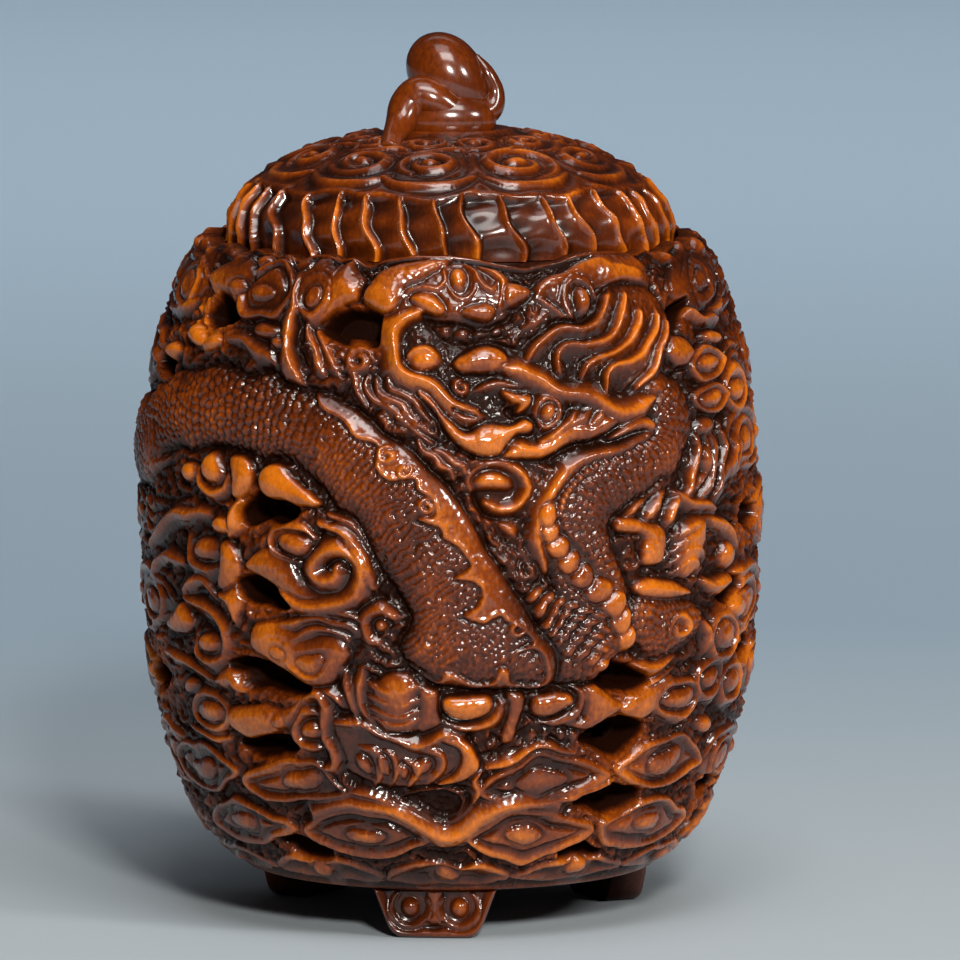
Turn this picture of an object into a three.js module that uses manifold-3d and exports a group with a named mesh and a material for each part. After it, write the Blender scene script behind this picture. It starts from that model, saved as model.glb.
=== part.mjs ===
// A carved boxwood insect cage: a pierced barrel wall with a dragon winding among clouds,
// three scroll feet pegged under it, and a fluted lid with a swirl knob that lifts off.
// Millimetres, +Z up, the front towards -Y. The origin is on the table under the axis.

import * as THREE from 'three';
import { mergeVertices } from 'three/addons/utils/BufferGeometryUtils.js';
import { LoftGeometry } from 'three/addons/geometries/LoftGeometry.js';
import Module from 'manifold-3d';

// Barrel
const BASE_RADIUS = 17.4;        // flat underside
const BODY_RADIUS = 28;          // widest, over the carving
const RELIEF = 1.4;              // how far the carving stands out of the wall
const WALL = 3.4;                // wall behind the carving
const LOWER_CURVE = 28.7;        // height of the rounded lower half
const BELLY_BAND = 5;            // height of the straight belly
const UPPER_CURVE = 22.5;        // height of the rounded shoulder
const SHOULDER_POWER = 1.7;      // roundness of the shoulder, 2 is an ellipse
const RIM_RISE = 1.1;            // rim above the seat of the lid
const RIM_WALL = 1.4;            // rim beside the lid
const MOUTH_RADIUS = 16.6;
const MOUTH_DEPTH = 4.6;

// Floor, let into the underside
const FLOOR_THICKNESS = 2;
const LEDGE_THICKNESS = 1;       // wood over the floor's edge
const LEDGE_WIDTH = 1.2;
const FLOOR_MARGIN = 0.4;        // from the floor's edge to the feet

// Feet
const FOOT_COUNT = 3;
const FOOT_TURN = -4.6;          // degrees from the front to the front foot
const FOOT_HEIGHT = 4.3;
const FOOT_TOP_WIDTH = 11.4;
const FOOT_BOTTOM_WIDTH = 6.9;
const FOOT_CORNER = 1.3;
const FOOT_DEPTH = 3.5;
const FOOT_INSET = 0.2;          // face of the foot behind the barrel's edge
const FOOT_EYE_RADIUS = 1;
const FOOT_EYE_SPREAD = 4.4;     // between the two scroll eyes
const FOOT_EYE_RISE = 2.6;
const FOOT_EYE_RELIEF = 0.4;
const PEG_RADIUS = 0.9;
const PEG_COVER = 1.2;           // wood left past each end of a peg

// Lid
const LID_OVERLAP = 3.3;         // lid past the mouth
const LID_SKIRT = 1.4;           // straight edge below the dome
const LID_DOME = 9;
const LID_CROWN = 4;             // wood over the lid's hollow
const FLUTE_COUNT = 36;
const FLUTE_DEPTH = 0.85;        // beside a ridge; the flute then rises to the next ridge
const FLUTE_RISE = 0.5;          // share of the depth that it rises
const FLUTE_HEIGHT = 6.2;
const FLUTE_LEAN = 5;            // degrees that a ridge leans to the left over its height
const COLLAR_WALL = 2.2;
const COLLAR_DROP = 3.6;         // collar below the seat
const COLLAR_SINK = 1.5;         // collar let into the lid
const LID_CLOUD_COUNT = 9;       // in each ring of clouds on the dome
const LID_CLOUD_TURN = -8;       // degrees from the front to the first cloud of the lower ring
const LID_CLOUD_RELIEF = 0.5;
const LOW_CLOUD = { circle: 12.7, width: 7.6, height: 4.6 };
const HIGH_CLOUD = { circle: 8.4, width: 4.8, height: 3.4 };

// Knob
const KNOB_HEIGHT = 8.3;
const KNOB_BASE_RADIUS = 5;
const KNOB_BASE_DEPTH = 9;       // front to back
const KNOB_BASE_HEIGHT = 5.6;
const KNOB_BASE_MIDDLE = 2.3;    // middle of the lower lobe over its seat
const KNOB_HEAD_WIDTH = 7.4;
const KNOB_HEAD_HEIGHT = 6.4;
const KNOB_HEAD_SHIFT = -0.8;
const KNOB_HORN_WIDTH = 3;
const KNOB_HORN_DEPTH = 6;
const KNOB_HORN_HEIGHT = 5;
const KNOB_HORN_INSET = 0.3;     // horn behind the lower lobe's edge
const KNOB_HORN_SINK = 1;        // horn below the lower lobe's middle
const KNOB_SEAT_MARGIN = 0.3;    // flat on the crown past the knob
const TENON_RADIUS = 1.6;
const TENON_COVER = 1.2;         // wood left past the tenon

// Clearances
const GLUE_FIT = 0.1;            // between glued pieces
const COLLAR_CLEARANCE = 0.3;    // collar in the mouth
const RIM_CLEARANCE = 0.5;       // lid inside the rim
const SEAT_GAP = 0.1;            // lid over its seat

// Cloud scrolls and sound holes, in staggered rows round the sides and the back
const CLOUD_ROWS = 8;
const CLOUDS_PER_ROW = 12;
const CLOUD_SHARE = 0.86;        // of the pitch that a cloud fills
const CLOUD_HEIGHT = 4.8;
const CLOUD_RELIEF = 1.1;        // less than the dragon's
const BACK_POWER = 0.75;         // roundness of a carved back, 0.5 is an ellipse
const HOLE_WIDTH = 5;
const HOLE_HEIGHT = 2.6;
const HOLE_TAPER = 0.7;          // inner end of a hole against its outer end
const DRAGON_MARGIN = 0.3;       // bare wall beside the dragon
const FRONT_HALF_TURN = 74;      // degrees to each side that the front's own clouds fill

// Clouds of the front: degrees round from the front, share of the barrel's height, width, height
const FRONT_CLOUDS = [
  [-48, 0.06, 14, 4.4], [-18, 0.1, 15, 5], [16, 0.1, 16, 5.2], [48, 0.09, 14, 4.6],
  [-57, 0.17, 9, 4.2], [-34, 0.18, 12, 4.2], [-7, 0.22, 14, 5], [20, 0.18, 14, 4.8],
  [48, 0.2, 12, 4.6], [70, 0.19, 9, 4.4],
  [-54, 0.29, 7, 4.4], [-39, 0.28, 6.4, 3.6], [-27, 0.27, 4.6, 6], [3, 0.3, 6.4, 3.8], [20, 0.3, 7, 4],
  [31, 0.3, 4, 3.4], [44, 0.3, 6.4, 4.2], [59, 0.32, 6, 4.2],
  [-56, 0.41, 9, 4.8], [-28, 0.4, 12, 6.6], [-54, 0.49, 9, 3.8], [-27, 0.53, 12, 7.4],
  [49, 0.41, 5.6, 4.4], [63, 0.39, 6.4, 5.2], [44, 0.5, 7.4, 6], [62, 0.51, 6.4, 5],
  [-50, 0.63, 7, 5], [-33, 0.65, 6.4, 3.4], [37, 0.57, 5.6, 5], [58, 0.66, 9, 7.4], [8, 0.65, 5.6, 5],
  [59, 0.79, 7, 8], [71, 0.78, 6, 9], [-54, 0.86, 16, 2.6], [34, 0.88, 16, 6.6],
  [0, 0.95, 17, 5.4], [32, 0.95, 13, 4.8], [-28, 0.95, 8, 5], [-43, 0.93, 7.4, 4.6], [-57, 0.95, 8, 3.2],
  [66, 0.94, 9, 4],
];
// Sound holes between them, the same way
const FRONT_HOLES = [
  [-19, 0.89, 6, 3], [-54, 0.9, 5.8, 2.2], [52, 0.89, 5.4, 2],
  [-37, 0.61, 5.6, 2.8], [-37, 0.47, 5.8, 2.6], [-38, 0.34, 8, 2.6], [-40, 0.23, 8, 1.9],
  [-35, 0.06, 5.4, 1.7],
  [34, 0.35, 5.7, 2.6], [34, 0.25, 7.2, 2.8], [35, 0.14, 7.2, 2.3], [32, 0.06, 5.8, 1.6],
  [70, 0.14, 5, 1.8], [65, 0.46, 4.4, 1.7],
];

// Dragon: degrees round from the front, share of the barrel's height, share of its half width
const DRAGON_HALF_WIDTH = 3.9;
const DRAGON_BODY = [
  [-205, 0.3, 0.42], [-165, 0.5, 0.7], [-120, 0.66, 0.9], [-82, 0.68, 1], [-51, 0.75, 1],
  [-24, 0.73, 1], [-10, 0.63, 1.1], [-2, 0.51, 1.2], [6, 0.41, 1.25], [14, 0.38, 1.05],
];
const DRAGON_NECK = [
  [19, 0.4, 0.77], [28, 0.44, 0.85], [26, 0.53, 0.85], [25, 0.6, 0.85],
  [34, 0.67, 0.77], [44, 0.72, 0.77], [45, 0.77, 0.5],
];
const DRAGON_HEAD = [
  [40, 0.76, 0.46], [27, 0.76, 0.8], [14, 0.77, 1.1], [2, 0.82, 0.9], [-9, 0.87, 0.6],
];
const DRAGON_STEPS = 40;

// Facets
const BARREL_SIDES = 116;
const BARREL_ROWS = 34;
const PROFILE_STEPS = 24;
const CHAMBER_STEPS = 3;
const DOME_STEPS = 4;
const ROUND_SIDES = 36;
const KNOB_SIDES = 18;
const PEG_SIDES = 10;
const BOSS_SIDES = 8;
const BOSS_RINGS = 4;
const HOLE_SIDES = 6;
const FLUTE_STEPS = 4;
const FOOT_STEPS = 6;
const PAST = 1;                  // how far a cutter runs past what it cuts

// Heights and radii that follow
const LID_RADIUS = MOUTH_RADIUS + LID_OVERLAP;
const RIM_INNER = LID_RADIUS + RIM_CLEARANCE;
const RIM_RADIUS = RIM_INNER + RIM_WALL;
const GROUND_RADIUS = BODY_RADIUS - RELIEF;
const BARREL_HEIGHT = LOWER_CURVE + BELLY_BAND + UPPER_CURVE;
const BOTTOM = FLOOR_THICKNESS + LEDGE_THICKNESS;
const RIM_LEVEL = FOOT_HEIGHT + BARREL_HEIGHT;
const SEAT_LEVEL = RIM_LEVEL - RIM_RISE;
const CHAMBER_FLOOR = FOOT_HEIGHT + BOTTOM;
const CHAMBER_TOP = SEAT_LEVEL - MOUTH_DEPTH;
const FOOT_FACE = BASE_RADIUS - FOOT_INSET;
const FLOOR_RADIUS = FOOT_FACE - FOOT_DEPTH - FLOOR_MARGIN;
const LID_LEVEL = SEAT_LEVEL + SEAT_GAP;
const COLLAR_OUTER = MOUTH_RADIUS - COLLAR_CLEARANCE;
const COLLAR_INNER = COLLAR_OUTER - COLLAR_WALL;
const KNOB_SEAT = LID_LEVEL + domeHeight(KNOB_BASE_RADIUS + KNOB_SEAT_MARGIN);
const HOLLOW_TOP = KNOB_SEAT - LID_CROWN;
const TENON_DEPTH = LID_CROWN - TENON_COVER;

const boxwood = { color: 0x8f4a1b, roughness: 0.32, metalness: 0 };
const darkBoxwood = { color: 0x5a2d12, roughness: 0.5, metalness: 0 };
const bamboo = { color: 0xb98b4e, roughness: 0.55, metalness: 0 };

const wasm = await Module();
wasm.setup();

// A closed geometry as a solid for joining and cutting
function solid(geometry) {
  const bare = new THREE.BufferGeometry();
  bare.setAttribute('position', geometry.getAttribute('position'));
  bare.setIndex(geometry.getIndex());
  const merged = mergeVertices(bare, 1e-4);
  const index = merged.getIndex().array;
  const triVerts = [];
  for (let i = 0; i < index.length; i += 3) {
    const corners = [index[i], index[i + 1], index[i + 2]];
    if (new Set(corners).size === 3) triVerts.push(...corners);
  }
  return new wasm.Manifold(new wasm.Mesh({
    numProp: 3,
    vertProperties: new Float32Array(merged.getAttribute('position').array),
    triVerts: new Uint32Array(triVerts),
  }));
}

function join(solids) {
  return solids.reduce((whole, piece) => whole.add(piece));
}

// A named mesh of a solid
function piece(name, body, finish) {
  const { vertProperties, triVerts } = body.getMesh();
  const geometry = new THREE.BufferGeometry();
  geometry.setAttribute('position', new THREE.BufferAttribute(vertProperties, 3));
  geometry.setIndex(new THREE.BufferAttribute(triVerts, 1));
  geometry.computeVertexNormals();
  const mesh = new THREE.Mesh(geometry, new THREE.MeshStandardMaterial(finish));
  mesh.name = name;
  return mesh;
}

// A profile of [radius, height] points turned about the axis
function turned(profile, sides) {
  const points = profile.map(([radius, height]) => new THREE.Vector2(radius, height));
  return solid(new THREE.LatheGeometry(points, sides).rotateX(Math.PI / 2));
}

function disc(radius, low, high, sides) {
  return turned([[0, low], [radius, low], [radius, high], [0, high]], sides);
}

function ring(inner, outer, low, high, sides) {
  return turned([[inner, low], [outer, low], [outer, high], [inner, high], [inner, low]], sides);
}

// Radius of the wall's ground at a height above the underside: an ellipse, a straight belly and a shoulder
function groundRadius(rise) {
  if (rise < LOWER_CURVE) {
    const below = 1 - rise / LOWER_CURVE;
    return BASE_RADIUS + (GROUND_RADIUS - BASE_RADIUS) * Math.sqrt(1 - below ** 2);
  }
  const above = Math.max(0, (rise - LOWER_CURVE - BELLY_BAND) / UPPER_CURVE);
  const swell = Math.max(0, 1 - above ** SHOULDER_POWER) ** (1 / SHOULDER_POWER);
  return RIM_RADIUS + (GROUND_RADIUS - RIM_RADIUS) * swell;
}

// Heights above the underside for a profile of the wall, close together where the wall curves most
function profileRises(steps) {
  const turns = Array.from({ length: steps + 1 }, (_, i) => (Math.PI / 2) * (i / steps));
  return [
    ...turns.map((turn) => LOWER_CURVE * (1 - Math.cos(turn))),
    ...turns.map((turn) => LOWER_CURVE + BELLY_BAND + UPPER_CURVE * Math.sin(turn)),
  ];
}

// Heights above the underside that divide the wall's profile evenly
function evenRises(count) {
  const points = profileRises(PROFILE_STEPS).map((rise) => new THREE.Vector2(groundRadius(rise), rise));
  return new THREE.SplineCurve(points).getSpacedPoints(count).map((point) => point.y);
}

// Height of the dome above the lid's underside at a radius, and its radius at a height
function domeHeight(radius) {
  return LID_SKIRT + LID_DOME * Math.sqrt(1 - (radius / LID_RADIUS) ** 2);
}

function domeRadius(height) {
  const up = Math.max(0, (height - LID_SKIRT) / LID_DOME);
  return LID_RADIUS * Math.sqrt(Math.max(0, 1 - up ** 2));
}

// The place on the wall at an angle and a rise: x runs round, y runs up and z points outwards
function wallPlace(degrees, rise) {
  const angle = THREE.MathUtils.degToRad(degrees);
  const step = 0.01 * BARREL_HEIGHT;
  const low = Math.max(0, rise - step);
  const high = Math.min(BARREL_HEIGHT, rise + step);
  const slope = (groundRadius(high) - groundRadius(low)) / (high - low);
  const out = new THREE.Vector3(Math.sin(angle), -Math.cos(angle), 0);
  const around = new THREE.Vector3(Math.cos(angle), Math.sin(angle), 0);
  const up = new THREE.Vector3(0, 0, 1).addScaledVector(out, slope).normalize();
  const normal = new THREE.Vector3().crossVectors(around, up);
  const radius = groundRadius(rise);
  const place = new THREE.Matrix4().makeBasis(around, up, normal);
  return place.setPosition(out.x * radius, out.y * radius, FOOT_HEIGHT + rise);
}

// Degrees from one angle to another, the short way round
function shortTurn(from, to) {
  return to - from - 360 * Math.round((to - from) / 360);
}

// Stations along the dragon: x is degrees, y is the rise and z is the half width
function dragonStations() {
  return [DRAGON_BODY, DRAGON_NECK, DRAGON_HEAD].flatMap((points) => {
    const course = new THREE.CatmullRomCurve3(points.map(([degrees, riseShare, widthShare]) => (
      new THREE.Vector3(degrees, riseShare * BARREL_HEIGHT, widthShare * DRAGON_HALF_WIDTH))));
    return course.getPoints(DRAGON_STEPS);
  });
}

// How far a place is from a station's middle, measured along the wall
function wallDistance(station, degrees, rise) {
  const around = THREE.MathUtils.degToRad(shortTurn(station.x, degrees)) * groundRadius(rise);
  return Math.hypot(around, rise - station.y);
}

// Clouds and sound holes: the front's own, and staggered rows behind wherever the dragon leaves room,
// with a hole in every second gap
function wallPattern(stations) {
  const listed = (list) => list.map(([degrees, riseShare, width, height]) => (
    { degrees, rise: riseShare * BARREL_HEIGHT, width, height }));
  const clear = ({ degrees, rise, height }) => stations.every((station) => (
    wallDistance(station, degrees, rise) > station.z + DRAGON_MARGIN + height / 2));
  const free = (spot) => Math.abs(shortTurn(0, spot.degrees)) > FRONT_HALF_TURN && clear(spot);
  const pitch = 360 / CLOUDS_PER_ROW;
  const cloudWidth = CLOUD_SHARE * THREE.MathUtils.degToRad(pitch) * BODY_RADIUS;
  const rowClouds = [];
  const rowHoles = [];
  for (let row = 0; row < CLOUD_ROWS; row += 1) {
    const rise = ((row + 0.5) / CLOUD_ROWS) * BARREL_HEIGHT;
    for (let k = 0; k < CLOUDS_PER_ROW; k += 1) {
      const degrees = pitch * (k + (row % 2) / 2);
      rowClouds.push({ degrees, rise, width: cloudWidth, height: CLOUD_HEIGHT });
      const hole = { degrees: degrees + pitch / 2, rise, width: HOLE_WIDTH, height: HOLE_HEIGHT };
      if ((k + Math.floor(row / 2)) % 2 === 0) rowHoles.push(hole);
    }
  }
  return {
    clouds: [...listed(FRONT_CLOUDS), ...rowClouds.filter(free)],
    holes: [...listed(FRONT_HOLES), ...rowHoles.filter(free)],
  };
}

// The carving's height over the ground: round backs for the dragon and for each cloud
function reliefAt(degrees, rise, stations, clouds) {
  const dragonBacks = stations.map((station) => 1 - (wallDistance(station, degrees, rise) / station.z) ** 2);
  const cloudBacks = clouds.map((cloud) => {
    const around = THREE.MathUtils.degToRad(shortTurn(cloud.degrees, degrees)) * BODY_RADIUS;
    return 1 - (around / (cloud.width / 2)) ** 2 - ((rise - cloud.rise) / (cloud.height / 2)) ** 2;
  });
  const dragonRelief = RELIEF * Math.max(0, ...dragonBacks) ** BACK_POWER;
  return Math.max(dragonRelief, CLOUD_RELIEF * Math.max(0, ...cloudBacks) ** BACK_POWER);
}

// The carved outside of the barrel: rings whose radius is the ground's and the carving's on it
function carvedBarrel(stations, clouds) {
  const sections = evenRises(BARREL_ROWS).map((rise) => Array.from({ length: BARREL_SIDES }, (_, k) => {
    const degrees = (360 * k) / BARREL_SIDES;
    const angle = THREE.MathUtils.degToRad(degrees);
    const radius = groundRadius(rise) + reliefAt(degrees, rise, stations, clouds);
    return new THREE.Vector3(radius * Math.sin(angle), -radius * Math.cos(angle), FOOT_HEIGHT + rise);
  }));
  return solid(new LoftGeometry(sections, { capStart: true, capEnd: true }));
}

// A flattened ball for a boss, sunk to its middle in what carries it
function boss(width, height, relief, place) {
  const ball = new THREE.SphereGeometry(1, BOSS_SIDES, BOSS_RINGS);
  return solid(ball.scale(width / 2, height / 2, relief).applyMatrix4(place));
}

// A tapered sound hole through the wall, with points to the left and right
function soundHole({ degrees, rise, width, height }) {
  const depth = WALL + RELIEF + 2 * PAST;
  const drill = new THREE.CylinderGeometry(1, HOLE_TAPER, depth, HOLE_SIDES, 1, false, Math.PI / 2);
  drill.rotateX(Math.PI / 2).translate(0, 0, RELIEF + PAST - depth / 2);
  return solid(drill.scale(width / 2, height / 2, 1).applyMatrix4(wallPlace(degrees, rise)));
}

// A peg's hole or the peg itself, on the middle of a foot that faces -Y
function pegSolid(radius, endGap) {
  const low = PEG_COVER + endGap;
  const high = FOOT_HEIGHT + BOTTOM - PEG_COVER - endGap;
  return disc(radius, low, high, PEG_SIDES).translate([0, FOOT_DEPTH / 2 - FOOT_FACE, 0]);
}

function footAngles() {
  return Array.from({ length: FOOT_COUNT }, (_, k) => FOOT_TURN + (360 * k) / FOOT_COUNT);
}

function cageBody() {
  const stations = dragonStations();
  const { clouds, holes } = wallPattern(stations);
  const chamberRise = CHAMBER_TOP - FOOT_HEIGHT;
  const isBetween = (rise) => rise > BOTTOM + PAST && rise < chamberRise - PAST;
  const chamberWall = [BOTTOM, ...profileRises(CHAMBER_STEPS).filter(isBetween), chamberRise];
  const chamber = turned([
    [0, CHAMBER_FLOOR],
    ...chamberWall.map((rise) => [groundRadius(rise) - WALL, FOOT_HEIGHT + rise]),
    [MOUTH_RADIUS, CHAMBER_TOP],
    [MOUTH_RADIUS, RIM_LEVEL + PAST],
    [0, RIM_LEVEL + PAST],
  ], ROUND_SIDES);
  const seat = disc(RIM_INNER, SEAT_LEVEL, RIM_LEVEL + PAST, ROUND_SIDES);
  const floorTop = FOOT_HEIGHT + FLOOR_THICKNESS + GLUE_FIT;
  const floorRebate = disc(FLOOR_RADIUS + GLUE_FIT, FOOT_HEIGHT - PAST, floorTop, ROUND_SIDES);
  const floorHole = disc(FLOOR_RADIUS - LEDGE_WIDTH, FOOT_HEIGHT, CHAMBER_FLOOR + PAST, ROUND_SIDES);
  const pegHoles = footAngles().map((angle) => pegSolid(PEG_RADIUS + GLUE_FIT, 0).rotate([0, 0, angle]));
  const cuts = [chamber, seat, floorRebate, floorHole, ...pegHoles, ...holes.map(soundHole)];
  return carvedBarrel(stations, clouds).subtract(join(cuts));
}

// A scroll foot that faces -Y: a bracket outline with round toes, and two eyes on its face
function footSolid() {
  const top = FOOT_TOP_WIDTH / 2;
  const toe = FOOT_BOTTOM_WIDTH / 2;
  const outline = new THREE.Shape();
  outline.moveTo(-top, FOOT_HEIGHT);
  outline.quadraticCurveTo(-toe, FOOT_HEIGHT, -toe, FOOT_CORNER);
  outline.absarc(FOOT_CORNER - toe, FOOT_CORNER, FOOT_CORNER, Math.PI, 1.5 * Math.PI);
  outline.lineTo(toe - FOOT_CORNER, 0);
  outline.absarc(toe - FOOT_CORNER, FOOT_CORNER, FOOT_CORNER, 1.5 * Math.PI, 2 * Math.PI);
  outline.quadraticCurveTo(toe, FOOT_HEIGHT, top, FOOT_HEIGHT);
  const cut = { depth: FOOT_DEPTH, bevelEnabled: false, curveSegments: FOOT_STEPS };
  const block = new THREE.ExtrudeGeometry(outline, cut);
  block.rotateX(Math.PI / 2).translate(0, FOOT_DEPTH - FOOT_FACE, 0);
  const eyes = [-1, 1].map((side) => {
    const place = new THREE.Matrix4().makeRotationX(Math.PI / 2);
    place.setPosition((side * FOOT_EYE_SPREAD) / 2, -FOOT_FACE, FOOT_EYE_RISE);
    return boss(2 * FOOT_EYE_RADIUS, 2 * FOOT_EYE_RADIUS, FOOT_EYE_RELIEF, place);
  });
  return join([solid(block), ...eyes]).subtract(pegSolid(PEG_RADIUS + GLUE_FIT, 0));
}

// The fluted skirt: between two ridges the wood drops sharply, then rises slowly to the next one
function flutedSkirt() {
  const levels = [0, LID_SKIRT, 0.5 * (LID_SKIRT + FLUTE_HEIGHT), FLUTE_HEIGHT];
  const count = FLUTE_COUNT * FLUTE_STEPS;
  const sections = levels.map((level) => Array.from({ length: count }, (_, k) => {
    const share = (k % FLUTE_STEPS) / FLUTE_STEPS;
    const lean = THREE.MathUtils.degToRad(FLUTE_LEAN * (level / FLUTE_HEIGHT));
    const angle = (2 * Math.PI * k) / count - lean;
    const depth = share > 0 ? FLUTE_DEPTH * (1 - FLUTE_RISE * share) : 0;
    const radius = domeRadius(level) - depth;
    return new THREE.Vector3(radius * Math.sin(angle), -radius * Math.cos(angle), LID_LEVEL + level);
  }));
  return solid(new LoftGeometry(sections, { capStart: true, capEnd: true }));
}

// A cloud boss on the dome, tilted with the dome's slope
function domeCloud({ circle, width, height }, degrees) {
  const rise = domeHeight(circle);
  const slope = (LID_DOME ** 2 * circle) / (LID_RADIUS ** 2 * (rise - LID_SKIRT));
  const place = new THREE.Matrix4().makeRotationX(Math.atan(slope));
  place.setPosition(0, -circle, LID_LEVEL + rise);
  const around = new THREE.Matrix4().makeRotationZ(THREE.MathUtils.degToRad(degrees));
  return boss(width, height, LID_CLOUD_RELIEF, around.multiply(place));
}

// Two staggered rings of clouds on the dome
function domeClouds() {
  const pitch = 360 / LID_CLOUD_COUNT;
  return Array.from({ length: LID_CLOUD_COUNT }, (_, k) => LID_CLOUD_TURN + k * pitch).flatMap((degrees) => [
    domeCloud(LOW_CLOUD, degrees), domeCloud(HIGH_CLOUD, degrees + pitch / 2)]);
}

// The lid: a fluted skirt and a dome with a flat crown, hollow below and rebated for the collar
function lidSolid() {
  const top = KNOB_SEAT - LID_LEVEL;
  const domeProfile = Array.from({ length: DOME_STEPS + 1 }, (_, i) => {
    const height = FLUTE_HEIGHT + (top - FLUTE_HEIGHT) * (i / DOME_STEPS);
    return [domeRadius(height), LID_LEVEL + height];
  });
  const coreRadius = domeRadius(FLUTE_HEIGHT) - FLUTE_DEPTH;
  const dome = turned([[0, LID_LEVEL], [coreRadius, LID_LEVEL], ...domeProfile, [0, KNOB_SEAT]], ROUND_SIDES);
  const rebateTop = LID_LEVEL + COLLAR_SINK + GLUE_FIT;
  const rebate = disc(COLLAR_OUTER + GLUE_FIT, LID_LEVEL - PAST, rebateTop, ROUND_SIDES);
  const hollowProfile = Array.from({ length: DOME_STEPS + 1 }, (_, i) => {
    const turn = (Math.PI / 2) * (i / DOME_STEPS);
    return [COLLAR_INNER * Math.cos(turn), rebateTop + (HOLLOW_TOP - rebateTop) * Math.sin(turn)];
  });
  const hollowMouth = [[0, LID_LEVEL - PAST], [COLLAR_INNER, LID_LEVEL - PAST]];
  const hollow = turned([...hollowMouth, ...hollowProfile], ROUND_SIDES);
  const mortiseFloor = KNOB_SEAT - TENON_DEPTH - GLUE_FIT;
  const mortise = disc(TENON_RADIUS + GLUE_FIT, mortiseFloor, KNOB_SEAT + PAST, PEG_SIDES);
  return join([dome, flutedSkirt(), ...domeClouds()]).subtract(join([rebate, hollow, mortise]));
}

// A lobe of the knob: a ball stretched to a width, depth and height
function lobe(width, depth, height, shift, middle) {
  const ball = new THREE.SphereGeometry(0.5, KNOB_SIDES, KNOB_SIDES / 2).rotateX(Math.PI / 2);
  return solid(ball.scale(width, depth, height).translate(shift, 0, KNOB_SEAT + middle));
}

// Two swirling lobes and the horn that curls up beside the upper one, on a round tenon
function knobSolid() {
  const base = lobe(2 * KNOB_BASE_RADIUS, KNOB_BASE_DEPTH, KNOB_BASE_HEIGHT, 0, KNOB_BASE_MIDDLE);
  const headMiddle = KNOB_HEIGHT - KNOB_HEAD_HEIGHT / 2;
  const head = lobe(KNOB_HEAD_WIDTH, KNOB_HEAD_WIDTH, KNOB_HEAD_HEIGHT, KNOB_HEAD_SHIFT, headMiddle);
  const hornShift = KNOB_BASE_RADIUS - KNOB_HORN_WIDTH / 2 - KNOB_HORN_INSET;
  const hornMiddle = KNOB_BASE_MIDDLE + KNOB_HORN_HEIGHT / 2 - KNOB_HORN_SINK;
  const horn = lobe(KNOB_HORN_WIDTH, KNOB_HORN_DEPTH, KNOB_HORN_HEIGHT, hornShift, hornMiddle);
  const below = disc(2 * KNOB_BASE_RADIUS, KNOB_SEAT - KNOB_HEIGHT, KNOB_SEAT, KNOB_SIDES);
  const tenon = disc(TENON_RADIUS, KNOB_SEAT - TENON_DEPTH, KNOB_SEAT + PAST, PEG_SIDES);
  return join([base, head, horn]).subtract(below).add(tenon);
}

const FOOT_NAMES = ['front', 'right', 'left'];
const cage = new THREE.Group();
const floorDisc = disc(FLOOR_RADIUS, FOOT_HEIGHT, FOOT_HEIGHT + FLOOR_THICKNESS, ROUND_SIDES);
cage.add(piece('cage_body', cageBody(), boxwood), piece('floor_disc', floorDisc, darkBoxwood));
footAngles().forEach((angle, k) => {
  const side = new THREE.Group();
  side.rotation.z = THREE.MathUtils.degToRad(angle);
  side.add(piece(`foot_${FOOT_NAMES[k]}`, footSolid(), boxwood));
  side.add(piece(`foot_peg_${FOOT_NAMES[k]}`, pegSolid(PEG_RADIUS, GLUE_FIT), bamboo));
  cage.add(side);
});

const lid = new THREE.Group();
const collarLow = LID_LEVEL - COLLAR_DROP;
const collar = ring(COLLAR_INNER, COLLAR_OUTER, collarLow, LID_LEVEL + COLLAR_SINK, ROUND_SIDES);
lid.add(piece('lid', lidSolid(), boxwood), piece('lid_collar', collar, darkBoxwood));
lid.add(piece('knob', knobSolid(), boxwood));

const insectCage = new THREE.Group();
insectCage.add(cage, lid);
export default insectCage;
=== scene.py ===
"""Looks of the carved insect cage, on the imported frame.

The barrel, the lid and the feet are grids whose carving is worked out in millimetres on a flat map,
as the height of the wood at each place, and then laid on the turned shape. The knob is three swept forms.
"""
import bpy
import numpy as np
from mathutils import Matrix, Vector


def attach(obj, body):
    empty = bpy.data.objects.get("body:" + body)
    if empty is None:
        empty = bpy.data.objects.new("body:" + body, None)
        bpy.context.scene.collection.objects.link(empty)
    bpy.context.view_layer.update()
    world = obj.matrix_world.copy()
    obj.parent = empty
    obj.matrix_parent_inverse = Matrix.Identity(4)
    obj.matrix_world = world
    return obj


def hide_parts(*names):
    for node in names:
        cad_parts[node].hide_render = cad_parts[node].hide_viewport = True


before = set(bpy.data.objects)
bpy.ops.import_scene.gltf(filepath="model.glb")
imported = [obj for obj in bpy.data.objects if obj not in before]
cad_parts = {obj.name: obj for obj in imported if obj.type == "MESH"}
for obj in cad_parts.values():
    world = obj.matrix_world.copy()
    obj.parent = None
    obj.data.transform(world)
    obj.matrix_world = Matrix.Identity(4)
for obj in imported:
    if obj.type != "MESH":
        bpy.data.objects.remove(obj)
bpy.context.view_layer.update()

MM = 0.001

# Barrel, in millimetres, as in the part
BODY_R = 28.0
BASE_R = 17.4
RIM_R = 21.8
LOW_Z = 4.3
LOWER = 28.7
BELLY = 5.0
UPPER = 22.5
SHOULDER = 1.7
RELIEF = 1.4
WALL = 3.4
RIM_Z = LOW_Z + LOWER + BELLY + UPPER
SEAT_Z = 59.4
RIM_INNER = 20.4
MOUTH_R = 16.6
CHAMBER_LOW = 7.3
CHAMBER_TOP = 54.8
FLOOR_HOLE = 12.1
REBATE_R = 13.4
REBATE_Z = 6.4

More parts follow.
